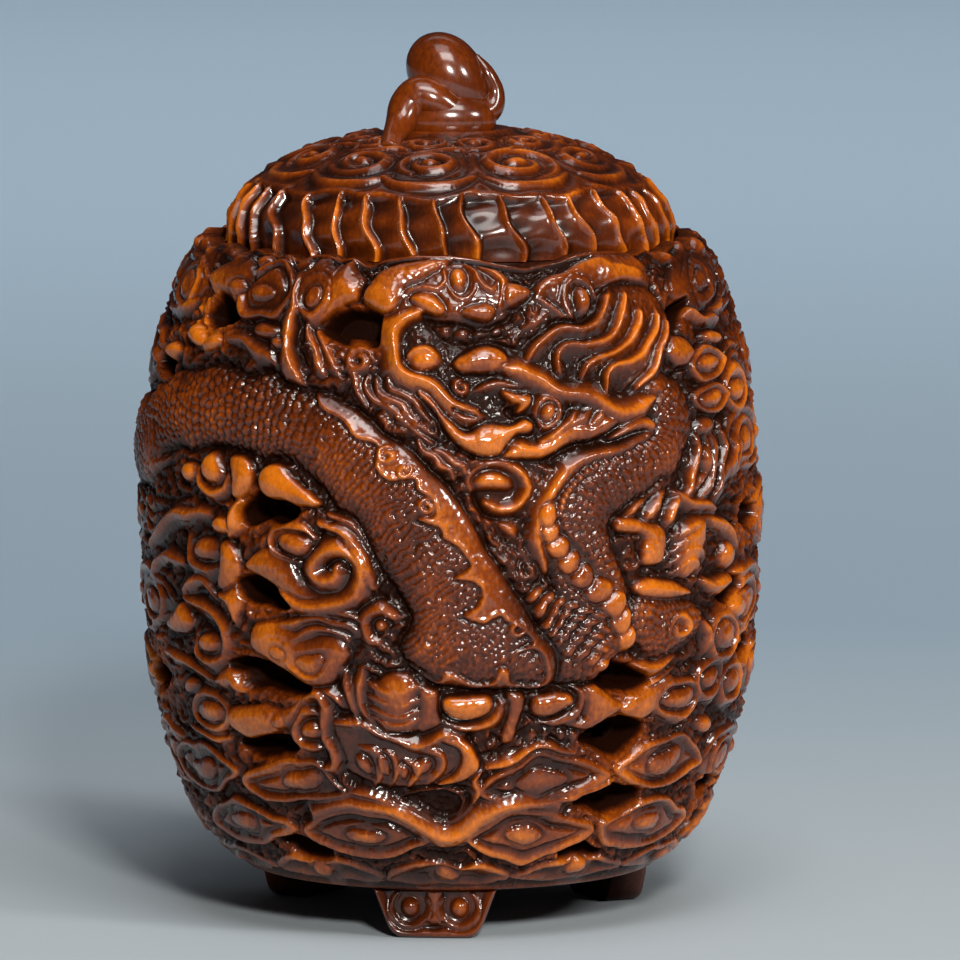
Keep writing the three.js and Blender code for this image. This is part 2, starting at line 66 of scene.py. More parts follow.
# Grid of the barrel's outside; its inside has one step for every COARSE steps of the outside
AROUND = 2 * np.pi * BODY_R
SECTORS = 8
COARSE = 4
SECTOR_COLS = 42 * COARSE
COLS = SECTORS * SECTOR_COLS
ROWS = 120 * COARSE
STEP = AROUND / COLS
GROUND = -0.9

# Rounding of a ridge's blunt crest and of a sharp one, and how far an opening's slope starts outside it
BLUNT = 0.06
SHARP = 0.01
HOLE_LIP = 0.35
# Slope of a form's side below its edge, and how much of a cut line's depth is cut
SIDE_SLOPE = 1.8
CUT_SHARE = 0.65
# A pad stands a little over its given top, with its edge made rounder and its cut line softer by these
PAD_LIFT = 0.1
PAD_DROP = 1.25
PAD_EDGE = 1.5
PAD_CUT = 0.65
PAD_CUT_WIDTH = 1.2


# Flat carving

def curve(points, closed=False, steps=8):
    """A Catmull-Rom curve through chosen points, of two or more values each."""
    p = np.asarray(points, float)
    if closed:
        q = np.concatenate([p[-1:], p, p[:2]])
    else:
        q = np.concatenate([2 * p[:1] - p[1:2], p, 2 * p[-1:] - p[-2:-1]])
    t = np.linspace(0, 1, steps, endpoint=False)[:, None, None]
    a, b, c, d = q[:-3], q[1:-2], q[2:-1], q[3:]
    flat = 2 * b + (c - a) * t
    bend = (2 * a - 5 * b + 4 * c - d) * t ** 2 + (3 * b - a - 3 * c + d) * t ** 3
    out = (0.5 * (flat + bend)).transpose(1, 0, 2).reshape(-1, p.shape[1])
    return out if closed else np.concatenate([out, p[-1:]])


def distance(path, places):
    """Distance from each place to a path, and how far along the path the nearest point is, in points."""
    flat = places.reshape(-1, 2)
    start = path[:-1, :2].astype(np.float32)
    run = (path[1:, :2] - path[:-1, :2]).astype(np.float32)
    size = (run ** 2).sum(1) + 1e-9
    best = np.empty(len(flat), np.float32)
    where = np.empty(len(flat), np.float32)
    chunk = max(1, 1500000 // len(start))
    for i in range(0, len(flat), chunk):
        rel = flat[i:i + chunk, None] - start
        t = np.clip((rel * run).sum(2) / size, 0, 1)
        d = ((rel - t[..., None] * run) ** 2).sum(2)
        k = d.argmin(1)
        n = np.arange(len(k))
        best[i:i + chunk] = d[n, k]
        where[i:i + chunk] = k + t[n, k]
    return np.sqrt(best).reshape(places.shape[:-1]), where.reshape(places.shape[:-1])


def signed(outline, places):
    """Depth inside a closed outline, negative outside, where inside is an odd count of crossings."""
    d, _ = distance(np.concatenate([outline, outline[:1]]), places)
    x, y = places[..., 0], places[..., 1]
    odd = np.zeros(x.shape, bool)
    for (x0, y0), (x1, y1) in zip(outline, np.roll(outline, -1, 0)):
        if y0 != y1:
            odd ^= ((y0 > y) != (y1 > y)) & (x < (x1 - x0) * (y - y0) / (y1 - y0) + x0)
    return np.where(odd, d, -d)


def rounded(depth, edge):
    """Drop of a rounded edge, a quarter circle: 1 at the outline, and 0 from the edge's width inwards."""
    q = np.clip(1 - depth / edge, 0, 1)
    return 1 - np.sqrt(np.maximum(0, 1 - q ** 2))


def spin(x, y, degrees):
    """Coordinates turned by an angle."""
    c, s = np.cos(np.radians(degrees)), np.sin(np.radians(degrees))
    return c * x - s * y, s * x + c * y


def melt(a, b, soft=0.3):
    """The higher of two heights, with the crease between them filled a little."""
    near = np.clip(1 - np.abs(a - b) / soft, 0, 1)
    return np.maximum(a, b) + 0.25 * soft * near * near


def ease(t):
    """A share from 0 to 1 that starts and ends slowly: three times its square less twice its cube."""
    return t * t * (3 - 2 * t)


def ends_of(path, where, taper):
    """1 along a path, sinking to 0 at both ends over a share of its points."""
    u = where / (len(path) - 1)
    return np.clip(np.minimum(u, 1 - u) / taper, 0, 1)


def run_along(x, y):
    """Length along a line from its start to each of its points."""
    return np.concatenate([[0], np.cumsum(np.hypot(np.diff(x), np.diff(y)))])


class Field:
    """A flat map of a carved surface: each place's height in millimetres and how polished it is."""

    def __init__(self, places, step, ground):
        self.places = places.astype(np.float32)
        self.step = step
        self.height = np.full(places.shape[:-1], ground, np.float32)
        self.polish = np.zeros(places.shape[:-1], np.float32)
        # depth of each place inside an opening, and the depth that cut lines stop at
        self.bore = np.full(places.shape[:-1], -9, np.float32)
        self.deepest = -1.7

    def window(self, points, margin):
        """The places within a margin of some points."""
        low = points[:, :2].min(0) - margin
        high = points[:, :2].max(0) + margin
        spot = np.nonzero(((self.places >= low) & (self.places <= high)).all(-1))
        return spot, self.places[spot]

    def inside(self, points, margin=1.5):
        """The places in and near a closed outline, and how deep inside it each one lies."""
        outline = curve(points, True)
        spot, places = self.window(outline, margin)
        return spot, places, signed(outline, places)

    def put(self, spot, body, depth, polish):
        """Sets a form over what is there, its edge softened over one step of the grid."""
        cover = np.clip(0.5 + depth / self.step, 0, 1)
        beside = melt(self.height[spot], body - SIDE_SLOPE * np.maximum(0, -depth))
        beside = np.where(depth > -1, beside, self.height[spot])
        self.height[spot] = beside * (1 - cover) + body * cover
        self.polish[spot] = self.polish[spot] * (1 - cover) + polish * cover

    def swell(self, spot, body, polish, soft=0.3):
        """Lets a form rise out of what is there, polished where it shows."""
        old = self.height[spot]
        shown = np.clip((body - old) / 0.2 + 0.5, 0, 1)
        self.height[spot] = melt(old, body, soft)
        self.polish[spot] = np.maximum(self.polish[spot], polish * shown)

    def moat(self, spot, out, depth, width):
        """A cut just outside a form, a bell curve across, which sets it off from what lies behind."""
        old = self.height[spot]
        cut = CUT_SHARE * depth * np.exp(-(out / width) ** 2) * (out >= 0)
        self.height[spot] = np.maximum(old - cut, np.minimum(old, self.deepest))

    def pad(self, points, top, drop=0.6, edge=1.9, cut=0.4, width=0.18, polish=1.0):
        """A raised form with a rounded edge inside a closed outline."""
        spot, _, d = self.inside(points)
        if cut:
            self.moat(spot, -d, PAD_CUT * cut, PAD_CUT_WIDTH * width)
        self.put(spot, top + PAD_LIFT - PAD_DROP * drop * rounded(d, PAD_EDGE * edge), d, polish)

    def ridge(self, points, width, top, cut=0.25, taper=0.35, polish=1.0):
        """A line with a blunt crest, a hyperbola across it, that thins and sinks towards its ends."""
        path = curve(points)
        spot, places = self.window(path, width + 0.8)
        d, where = distance(path, places)
        ends = ends_of(path, where, taper)
        half = 0.5 * width * (0.35 + 0.65 * np.sqrt(ends))
        if cut:
            self.moat(spot, d - half, cut, 0.18)
        fall = (0.6 * half + 0.14) * (np.sqrt((d / half) ** 2 + BLUNT) - 0.245) * 1.1 + 0.25 * (1 - ends)
        self.swell(spot, top - fall, polish)

    def crest(self, points, left, right, top, fall=0.6, taper=0.25, polish=1.0):
        """A sharp line whose sides fall straight, each over its own width to the path's left and right."""
        path = curve(points)
        spot, places = self.window(path, max(left, right) + 0.3)
        _, across, where = self.frame_of(path, places)
        ends = ends_of(path, where, taper)
        q = np.abs(across) / np.where(across > 0, left, right)
        body = top - fall * (np.sqrt(q * q + SHARP) - 0.1) - 0.3 * (1 - ends)
        self.swell(spot, body, polish, 0.1)

    def oval(self, x, y, wide, tall, turn, margin):
        """Places round an oval, and how far out each is: 1 on its edge."""
        spot, places = self.window(np.array([[x, y]]), max(wide, tall) / 2 + margin)
        u, v = spin(places[..., 0] - x, places[..., 1] - y, -turn)
        return spot, np.hypot(u / (wide / 2), v / (tall / 2))

    def boss(self, x, y, wide, tall, top, turn=0.0, cut=0.4, width=0.19):
        """An oval dome, falling with the distance from its middle, with a cut line round it."""
        spot, q = self.oval(x, y, wide, tall, turn, 1.2)
        small = min(wide, tall)
        if cut:
            self.moat(spot, (q - 1) * small / 2, cut, width)
        self.swell(spot, top - (0.2 * small + 0.16) * q ** 2.4, 1.0, 0.15)

    def scroll(self, x, y, radius, turns, start, way, width, top, squash=1.0, turn=0.0, inner=0.25):
        """A ridge along a spiral whose reach shrinks evenly as it winds in."""
        u = np.linspace(0, 1, int(10 * turns) + 4)
        angle = np.radians(start) + way * 2 * np.pi * turns * u
        reach = radius * (1 - (1 - inner) * u)
        a, b = spin(reach * np.cos(angle), squash * reach * np.sin(angle), turn)
        self.ridge(np.stack([x + a, y + b], 1), width, top, 0.25, 0.3)

    def eye(self, x, y, wide, tall, top=-0.4, turn=0.0, ring=1.0, way=1, start=200.0, turns=1.05):
        """An oval boss in a cut ring, on a soft swelling whose edge curls round it."""
        reach = wide / 2 + 0.3 + 0.6 * ring
        squash = (tall / 2 + 0.3 + 0.6 * ring) / reach
        spot, q = self.oval(x, y, 2 * reach + 1.3 * ring, 2 * reach * squash + 1.3 * ring, turn, 0.9)
        self.swell(spot, top - 0.12 - 0.6 * q ** 3, 0.9, 0.5)
        self.scroll(x, y, reach, turns, start, way, ring, top - 0.02, squash, turn, 0.94)
        self.boss(x, y, 1.15 * wide, 1.15 * tall, top + 0.1, turn, 0.45, 0.22)

    def lens(self, points, x, y, wide, tall, top=-0.4):
        """A cloud with a raised border and a hollow inside it that rises to an oval boss."""
        spot, _, d = self.inside(points)
        self.moat(spot, -d, 0.35, 0.18)
        hollow = 0.45 * np.exp(-((d - 0.95) / 0.4) ** 2) + 0.12 * (d > 0.95)
        self.put(spot, top - 0.45 * rounded(d, 0.35) - hollow, d, 1.0)
        spot, q = self.oval(x, y, wide + 2.4, tall + 1.5, 0, 0.8)
        self.swell(spot, top - 0.05 - 0.5 * q ** 3, 1.0, 0.3)
        self.boss(x, y, 1.1 * wide, 1.1 * tall, top + 0.2, 0, 0.4, 0.22)

    def hole(self, points, edge=0.6, depth=4.4):
        """An opening whose sides fall in an eased slope round its edge."""
        spot, _, d = self.inside(points)
        t = ease(np.clip((d + HOLE_LIP) / (edge + HOLE_LIP), 0, 1))
        old = self.height[spot]
        self.height[spot] = np.minimum(old, old * (1 - t) - depth * t)
        self.polish[spot] *= 1 - t
        self.bore[spot] = np.maximum(self.bore[spot], d)

    def frame_of(self, path, places):
        """Run along a path, offset to its left and nearest point on it, for each place."""
        d, where = distance(path, places)
        k = np.clip(where.astype(int), 0, len(path) - 2)
        way = (path[1:, :2] - path[:-1, :2])[k]
        rel = places - path[k, :2]
        side = np.sign(way[..., 0] * rel[..., 1] - way[..., 1] * rel[..., 0])
        run = run_along(path[:, 0], path[:, 1])
        return np.interp(where, np.arange(len(path)), run), side * d, where


def envelope(z, widest=BODY_R):
    """Radius of the barrel over its carving: a quarter ellipse, a straight belly, a rounded shoulder."""
    below = np.clip((LOW_Z + LOWER - z) / LOWER, 0, 1)
    above = np.clip((z - LOW_Z - LOWER - BELLY) / UPPER, 0, 1)
    low = BASE_R + (widest - BASE_R) * np.sqrt(1 - below ** 2)
    high = RIM_R + (widest - RIM_R) * (1 - above ** SHOULDER) ** (1 / SHOULDER)
    return np.where(z < LOW_Z + LOWER, low, high)


def chamber_radius(z):
    """Radius of the chamber: the wall's ground, less the wall."""
    return envelope(z, BODY_R - RELIEF) - WALL


def profile_rows():
    """Heights of the grid's rows, evenly spaced along the barrel's profile, and the profile's length."""
    z = LOW_Z + (RIM_Z - LOW_Z) * 0.5 * (1 - np.cos(np.linspace(0, np.pi, 4001)))
    arc = run_along(envelope(z), z)
    return np.interp(np.linspace(0, arc[-1], ROWS + 1), arc, z), arc[-1]


ROW_Z, PROFILE = profile_rows()
COL_S = (np.arange(COLS) - COLS / 2) * STEP


def grain(size, seed):
    """Random values a grain's size apart in millimetres, eased between, which join up round the back."""
    high, wide = int(PROFILE / size) + 2, int(round(AROUND / size))
    coarse = np.random.default_rng(seed).standard_normal((high, wide)).astype(np.float32)
    up = np.linspace(0, high - 1.001, ROWS + 1)
    along = np.arange(COLS) * wide / COLS
    i, j = up.astype(int), along.astype(int)
    a, b = (up - i)[:, None], (along - j)[None]
    a, b = ease(a), ease(b)
    lines = coarse[i] * (1 - a) + coarse[i + 1] * a
    return lines[:, j] * (1 - b) + lines[:, (j + 1) % wide] * b


def blur(field, steps, wrap=True):
    """A map blurred with a bell curve of a width in grid steps, joining round the back."""
    reach = int(3 * steps) + 1
    bell = np.exp(-0.5 * (np.arange(-reach, reach + 1) / steps) ** 2).astype(np.float32)
    bell /= bell.sum()
    tall = np.pad(field, ((reach, reach), (0, 0)), mode="edge")
    out = sum(w * tall[i:i + field.shape[0]] for i, w in enumerate(bell))
    wide = np.pad(out, ((0, 0), (reach, reach)), mode="wrap" if wrap else "edge")
    return sum(w * wide[:, i:i + field.shape[1]] for i, w in enumerate(bell))


class Wall(Field):
    """The barrel's map: x is arc in millimetres at the belly, 0 at the front, and y is the height."""

    def __init__(self):
        super().__init__(np.stack(np.meshgrid(COL_S, ROW_Z), -1), STEP, GROUND)
        # unevenness of the scales, and how far each place is off
        self.uneven = grain(0.9, 3), grain(0.9, 4)
        self.drift = 0.24 * np.stack([grain(2.4, 21), grain(2.4, 22)], -1)

    def window(self, points, margin):
        """The places within a margin of some points, past the seam too, each a little off by hand."""
        low = points[:, :2].min(0) - margin
        high = points[:, :2].max(0) + margin
        first = int(np.floor((low[0] + AROUND / 2) / STEP))
        cols = np.arange(first, int(np.ceil((high[0] + AROUND / 2) / STEP)) + 1)
        rows = np.nonzero((ROW_Z >= low[1]) & (ROW_Z <= high[1]))[0]
        places = np.stack(np.meshgrid(cols * STEP - AROUND / 2, ROW_Z[rows]), -1)
        spot = np.ix_(rows, cols % COLS)
        return spot, (places + self.drift[spot]).astype(np.float32)

    def level(self, mean, share, reach):
        """Moves the blurred height a share of the way to one level, and leaves the fine cutting."""
        self.height += share * (mean - blur(self.height, reach / STEP))

    def echoes(self, reach, apart, depth, below):
        """Fine lines where the blurred height passes even levels, so that they follow the forms."""
        base = blur(self.height, reach / STEP)
        steep = np.hypot(*np.gradient(base)) / STEP
        level = base / apart
        off = np.abs(level - np.round(level)) * apart / np.maximum(steep, 0.02)
        low = np.clip((below - self.height) / 0.2, 0, 1) * np.clip((steep - 0.04) / 0.08, 0, 1)
        self.height -= depth * low * np.exp(-(off / 0.13) ** 2)

    def scales(self, along, across, size, spot, rough=0.2):
        """Small round scales in staggered rows, each a dome, made uneven."""
        along = along + rough * size * self.uneven[0][spot]
        across = across + rough * size * self.uneven[1][spot]
        row = np.floor(along / size)
        x = across / (0.95 * size) + 0.5 * (row % 2)
        x = 2 * (x - np.floor(x)) - 1
        y = 2 * (along / size - row) - 1
        return 0.38 * size * (np.sqrt(np.maximum(0, 1 - 0.75 * (x * x + y * y))) - 0.75)

    def band(self, points, top, drop, edge, scale, over=True):
        """A round-backed band along a path of (x, y, half width), covered with scales."""
        path = curve(points)
        spot, places = self.window(path, path[:, 2].max() + 1.2)
        along, across, where = self.frame_of(path, places)
        half = np.interp(where, np.arange(len(path)), path[:, 2])
        depth = half - np.abs(across)
        self.moat(spot, np.where(where < len(path) - 2, -depth, -1), 0.5, 0.35)
        body = top - drop * rounded(depth, edge * half) + self.scales(along, across, scale, spot)
        if over:
            self.put(spot, body, depth, 0.4)
            self.bore[spot] = np.where(depth > -0.3, 0, self.bore[spot])
        else:
            self.swell(spot, body - SIDE_SLOPE * np.maximum(0, -depth), 0.4, 0.05)


# Forms of the wall in millimetres: arc and height, then what each form's function asks, in its order

# Spacing of the swirls of the ground, round and up the wall, and how far each may be off
SWIRLS_ROUND = 5.5
SWIRLS_UP = 5
SWIRL_OFF = 1.8


def ground(wall):
    """Low swirls between the clouds: waves in the distance from the nearest of scattered middles."""
    rng = np.random.default_rng(5)
    near = np.full(wall.height.shape, 99, np.float32)
    for s in np.arange(-AROUND / 2, AROUND / 2, SWIRLS_ROUND):
        for z in np.arange(6, 62, SWIRLS_UP):
            centre = np.array([[s, z]]) + rng.uniform(-SWIRL_OFF, SWIRL_OFF, 2)
            spot, places = wall.window(centre, 7)
            rel = places - centre[0]
            near[spot] = np.minimum(near[spot], np.hypot(rel[..., 0] * 0.8, rel[..., 1] * 1.15))
    rings = GROUND + 0.12 * np.cos(2 * np.pi * near / 1.3)
    wall.height[:] = rings + 0.2 * grain(3.2, 1) + 0.05 * grain(0.6, 2)


# Rows of clouds round the sides and the back, as in the part, then the base's border and the rim's lobes
CLOUD_ROWS = 8
CLOUDS_PER_ROW = 12
FRONT_HALF = 36.2
BASE_CLOUDS = 11
RIM_LOBES = 27
LOBE_WIDTHS = (4.2, 8.6)


def row_places():
    """Places of the clouds in staggered rows, each with the gap after it and whether that is pierced."""
    pitch = AROUND / CLOUDS_PER_ROW
    for row in range(CLOUD_ROWS):
        z = LOW_Z + (RIM_Z - LOW_Z) * (row + 0.5) / CLOUD_ROWS
        for k in range(CLOUDS_PER_ROW):
            s = pitch * (k + (row % 2) / 2)
            yield row, k, s, z, s + pitch / 2, (k + row // 2) % 2 == 0


def behind(s):
    """Whether a place round the wall lies beyond the front."""
    return FRONT_HALF < s % AROUND < AROUND - FRONT_HALF


def back_clouds(wall):
    """A scroll cloud at each place of the rows, and folds in the gaps that have no hole."""
    rng = np.random.default_rng(8)
    for row, k, s, z, gap, pierced in row_places():
        way = 1 if (k + row) % 2 else -1
        if behind(s):
            z1 = z + rng.uniform(-0.3, 0.3)
            high = 2.9 if row < CLOUD_ROWS - 1 else 5
            wall.pad([(s - 6.4, z1 - 0.6), (s - 4.4, z1 + 0.6 * high), (s - 0.6, z1 + high),
                      (s + 3.6, z1 + 0.7 * high), (s + 6.4, z1 + 0.4), (s + 4, z1 - 2),
                      (s - 0.4, z1 - 2.7), (s - 4.2, z1 - 2.2)], -0.65)
            wall.eye(s - 1.4 * way, z1, 3.4, 2, -0.3, 8 * way, 1.05, way, 190, 1.3)
            wall.boss(s + 3.6 * way, z1 + 0.2, 2, 1.6, -0.35)
            wall.ridge([(s - 5.8, z1 + 0.4), (s - 3.8, z1 + 2), (s - 0.4, z1 + 2.7), (s + 3.2, z1 + 1.9),
                        (s + 5.8, z1 + 0.4)], 0.9, -0.4)
            wall.ridge([(s - 4.8, z1 - 1.8), (s - 1.6, z1 - 2.5), (s + 1.8, z1 - 2.2),
                        (s + 4.8, z1 - 1.2)], 0.8, -0.5)
        if behind(gap) and not pierced:
            for lift in (-1.1, 0, 1.1):
                wall.ridge([(gap - 2.4, z + lift - 0.5), (gap - 0.8, z + lift + 0.3),
                            (gap + 0.8, z + lift - 0.2), (gap + 2.4, z + lift + 0.5)], 0.9, -0.55)


def lower_clouds(wall):
    """The lower rows of the front: outlined clouds in staggered rows, and the borders between them."""
    # border over the base
    for k in range(BASE_CLOUDS):
        s = -16.2 + k * AROUND / BASE_CLOUDS
        wall.lens([(s - 8.2, 5.1), (s - 4.5, 6.6), (s, 7), (s + 4.5, 6.6), (s + 8.2, 5.1), (s, 4.5)],
                  s, 5.7, 2.4, 1, -0.5)
    # second row from the bottom
    wall.lens([(16.6, 9.7), (20, 11.4), (24, 12.2), (28, 11.2), (31, 9.4), (28, 7.8), (23.6, 7.1),
               (19.6, 7.8)], 23.4, 9.8, 3.4, 1.5)
    wall.lens([(-32, 9), (-29, 11), (-25, 11.8), (-20.6, 11), (-17.4, 9.4), (-20.6, 8.4), (-25, 7.4),
               (-29, 7.6)], -25, 9.8, 3.6, 1.5)
    wall.lens([(-16.6, 9.6), (-13.6, 11.4), (-9.5, 12.3), (-5.6, 11.6), (-2, 9.3), (-4.2, 8), (-8.2, 7),
               (-13, 7.6)], -9, 9.5, 4, 1.6)
    wall.lens([(1.5, 9.4), (4, 11.2), (7.4, 12.3), (12, 11.5), (16.2, 9.5), (12.8, 7.8), (8, 6.9),
               (4, 7.6)], 7.8, 9.7, 4, 1.6)
    # third row
    wall.lens([(-23, 14), (-20, 15.4), (-16, 16.4), (-12.4, 15.4), (-10.4, 13.4), (-13.4, 12.6),
               (-17.4, 12), (-21, 12.4)], -15.3, 14.3, 4.4, 1.7)
    wall.lens([(2.8, 13.6), (4.8, 15.8), (9, 17), (13.2, 16.3), (16.8, 14.7), (13.6, 13.3), (9.4, 12.6),
               (5.6, 12.6)], 9, 14.6, 4.6, 1.8)
    wall.lens([(17, 15.1), (20, 16.9), (23.6, 17.7), (27.2, 16.8), (30, 15), (26.6, 13.4), (23, 12.9),
               (19.8, 13.5)], 23.4, 15.4, 4.2, 1.7)
    wall.lens([(-36, 14.4), (-33, 16.2), (-29, 16.6), (-25.4, 15.6), (-23.4, 14.2), (-26.6, 12.6),
               (-30, 12.2), (-33.6, 12.8)], -29.4, 14.4, 4, 1.8)
    # bright wavy borders that run between the eyes
    wall.crest([(-14.5, 11.4), (-12, 12.3), (-9, 12.8), (-6, 12.3), (-4.5, 11.6), (-3, 10.6), (-1.5, 10),
                (0, 9.7), (1.8, 10.5), (3, 11.5), (5, 12.2), (6.6, 12.5), (8, 13.1), (9.6, 12.8),
                (11.4, 12.2)], 0.8, 0.9, 0.0)
    wall.crest([(10.4, 12.5), (12.4, 12.8), (14.4, 13.4), (16.6, 14)], 0.5, 0.6, -0.2)
    wall.crest([(3.6, 16.2), (5, 16.6), (6.6, 17.2), (8.2, 17.5), (10, 17.5), (12, 17)], 0.6, 0.5, -0.1)
    wall.crest([(-11, 13.6), (-9, 13.9), (-7, 13.4), (-5.4, 12.8)], 0.5, 0.6, -0.3)
    wall.crest([(2.4, 12.6), (2.8, 13.8), (2.4, 15), (3.2, 15.8)], 0.5, 0.5, -0.25)
    # dark hollow in the middle, shaped like a heart
    wall.pad([(-5, 13.2), (-3, 13.7), (-0.5, 14), (1, 13.2), (1.2, 12), (0.2, 11.1), (-1.2, 11),
              (-2.4, 11.8), (-3.6, 12.5)], -1.5, -0.5, 0.8, 0, 0.3, 0.2)
    wall.pad([(-3.4, 7.6), (-1.6, 8.3), (0.8, 8.2), (2.8, 7), (1, 6.6), (-1.6, 6.9)],
             -1.4, -0.4, 0.8, 0, 0.3, 0.2)


def loop_clouds(wall):
    """The bosses, posts and claws under the dragon's loop, as outlined pads and crests."""
    # bosses and posts
    wall.pad([(-2.8, 23.4), (-1.2, 23.2), (-1.3, 21.4), (-0.8, 20), (-2.4, 19.4), (-3.4, 19.8),
              (-2.8, 21.4)], -0.4, 0.3, 0.8)
    wall.pad([(5.1, 22.8), (6.4, 22.6), (6.3, 20.8), (6, 19), (4.8, 18.6), (5.2, 20.6)], -0.4, 0.3, 0.8)
    wall.crest([(-0.6, 20.2), (1, 19.7), (2.8, 19.7), (4.3, 20.4), (4.8, 21.6)], 0.6, 0.5, -0.25)
    wall.pad([(-0.9, 21.6), (-0.4, 22.6), (1.6, 22.8), (3.6, 22.5), (4.3, 21.6), (3.8, 20.7), (2, 20.4),
              (0.2, 20.6)], 0.15, 0.75, 1.1, 0.5, 0.22)
    wall.pad([(12.6, 23.2), (14, 23.4), (15.4, 22), (16.8, 21.2), (15.4, 20.4), (13.8, 19.6),
              (12.4, 19.3), (11, 19.5), (12.7, 20.4), (13, 21.6)], -0.05, 0.6, 1.1)
    wall.ridge([(8, 19.9), (9.8, 19.8), (11.6, 20.2), (12.6, 21.4), (12.4, 22.6), (11.4, 23.1)],
               0.9, -0.25, 0.3, 0.2)
    wall.pad([(7.1, 21.4), (7.6, 22.5), (9.4, 22.8), (11.2, 22.2), (11.7, 21.3), (10.8, 20.7), (9, 20.4),
              (7.7, 20.6)], 0.15, 0.75, 1.1, 0.5, 0.22)
    for s in (7.6, 8.8, 10.6, 11.8):
        wall.ridge([(s, 19.2), (s + 0.1, 18.6), (s, 18)], 0.9, -0.5)
    # claws under the paw
    wall.pad([(-11.4, 19.6), (-8, 20), (-5.5, 19.2), (-3, 18.7), (-0.4, 19.3), (1.4, 18.7), (2.8, 17.2),
              (2.4, 15.8), (0, 14.8), (-3, 14.2), (-6.4, 14.3), (-9.6, 15.2), (-10.8, 17.2)],
             -0.55, 0.6, 1.0)
    for s, z, r in ((-8.1, 16.4, 1.5), (-6.2, 16.1, 1.2), (-4.1, 15.9, 1.3), (-2.4, 16.5, 1.6)):
        wall.crest([(s - 0.2 * r, z + r), (s + 0.7 * r, z + 0.7 * r), (s + r, z - 0.1 * r),
                    (s + 0.5 * r, z - 0.9 * r)], 0.35, 0.9, 0.05)
        wall.boss(s - 0.2 * r, z, 0.95 * r, 1.1 * r, -0.1, 20)
    wall.pad([(-1.2, 18.9), (0.2, 19.1), (1.6, 18.4), (2.9, 17.1), (2.6, 15.9), (0.8, 15.1), (-1.2, 14.6),
              (0.4, 15.8), (1, 16.8), (0.6, 17.8), (-0.4, 18.3)], 0.1, 0.6, 0.8)
    wall.crest([(-10.8, 19.7), (-8, 19.8), (-5.5, 18.9), (-3, 18.4), (-1.5, 18.7), (-0.4, 19.2),
                (1, 18.8)], 0.5, 0.7, 0.0, 0.6, 0.1)
    # scroll to their left
    wall.ridge([(-15.4, 20.4), (-14, 21.8), (-12.4, 22.2), (-11.6, 21.2), (-12, 19.8), (-12.2, 18.4),
                (-11.4, 17.2), (-11.2, 16), (-12.4, 15.4)], 1.0, -0.05, 0.35, 0.15)
    wall.ridge([(-12.6, 20.4), (-14, 20.4), (-15, 19.4), (-15, 18), (-14, 17.2), (-12.8, 17.2)],
               0.8, -0.15, 0.3, 0.15)
    wall.boss(-13.5, 18.8, 2, 1.5, 0.0, 10)


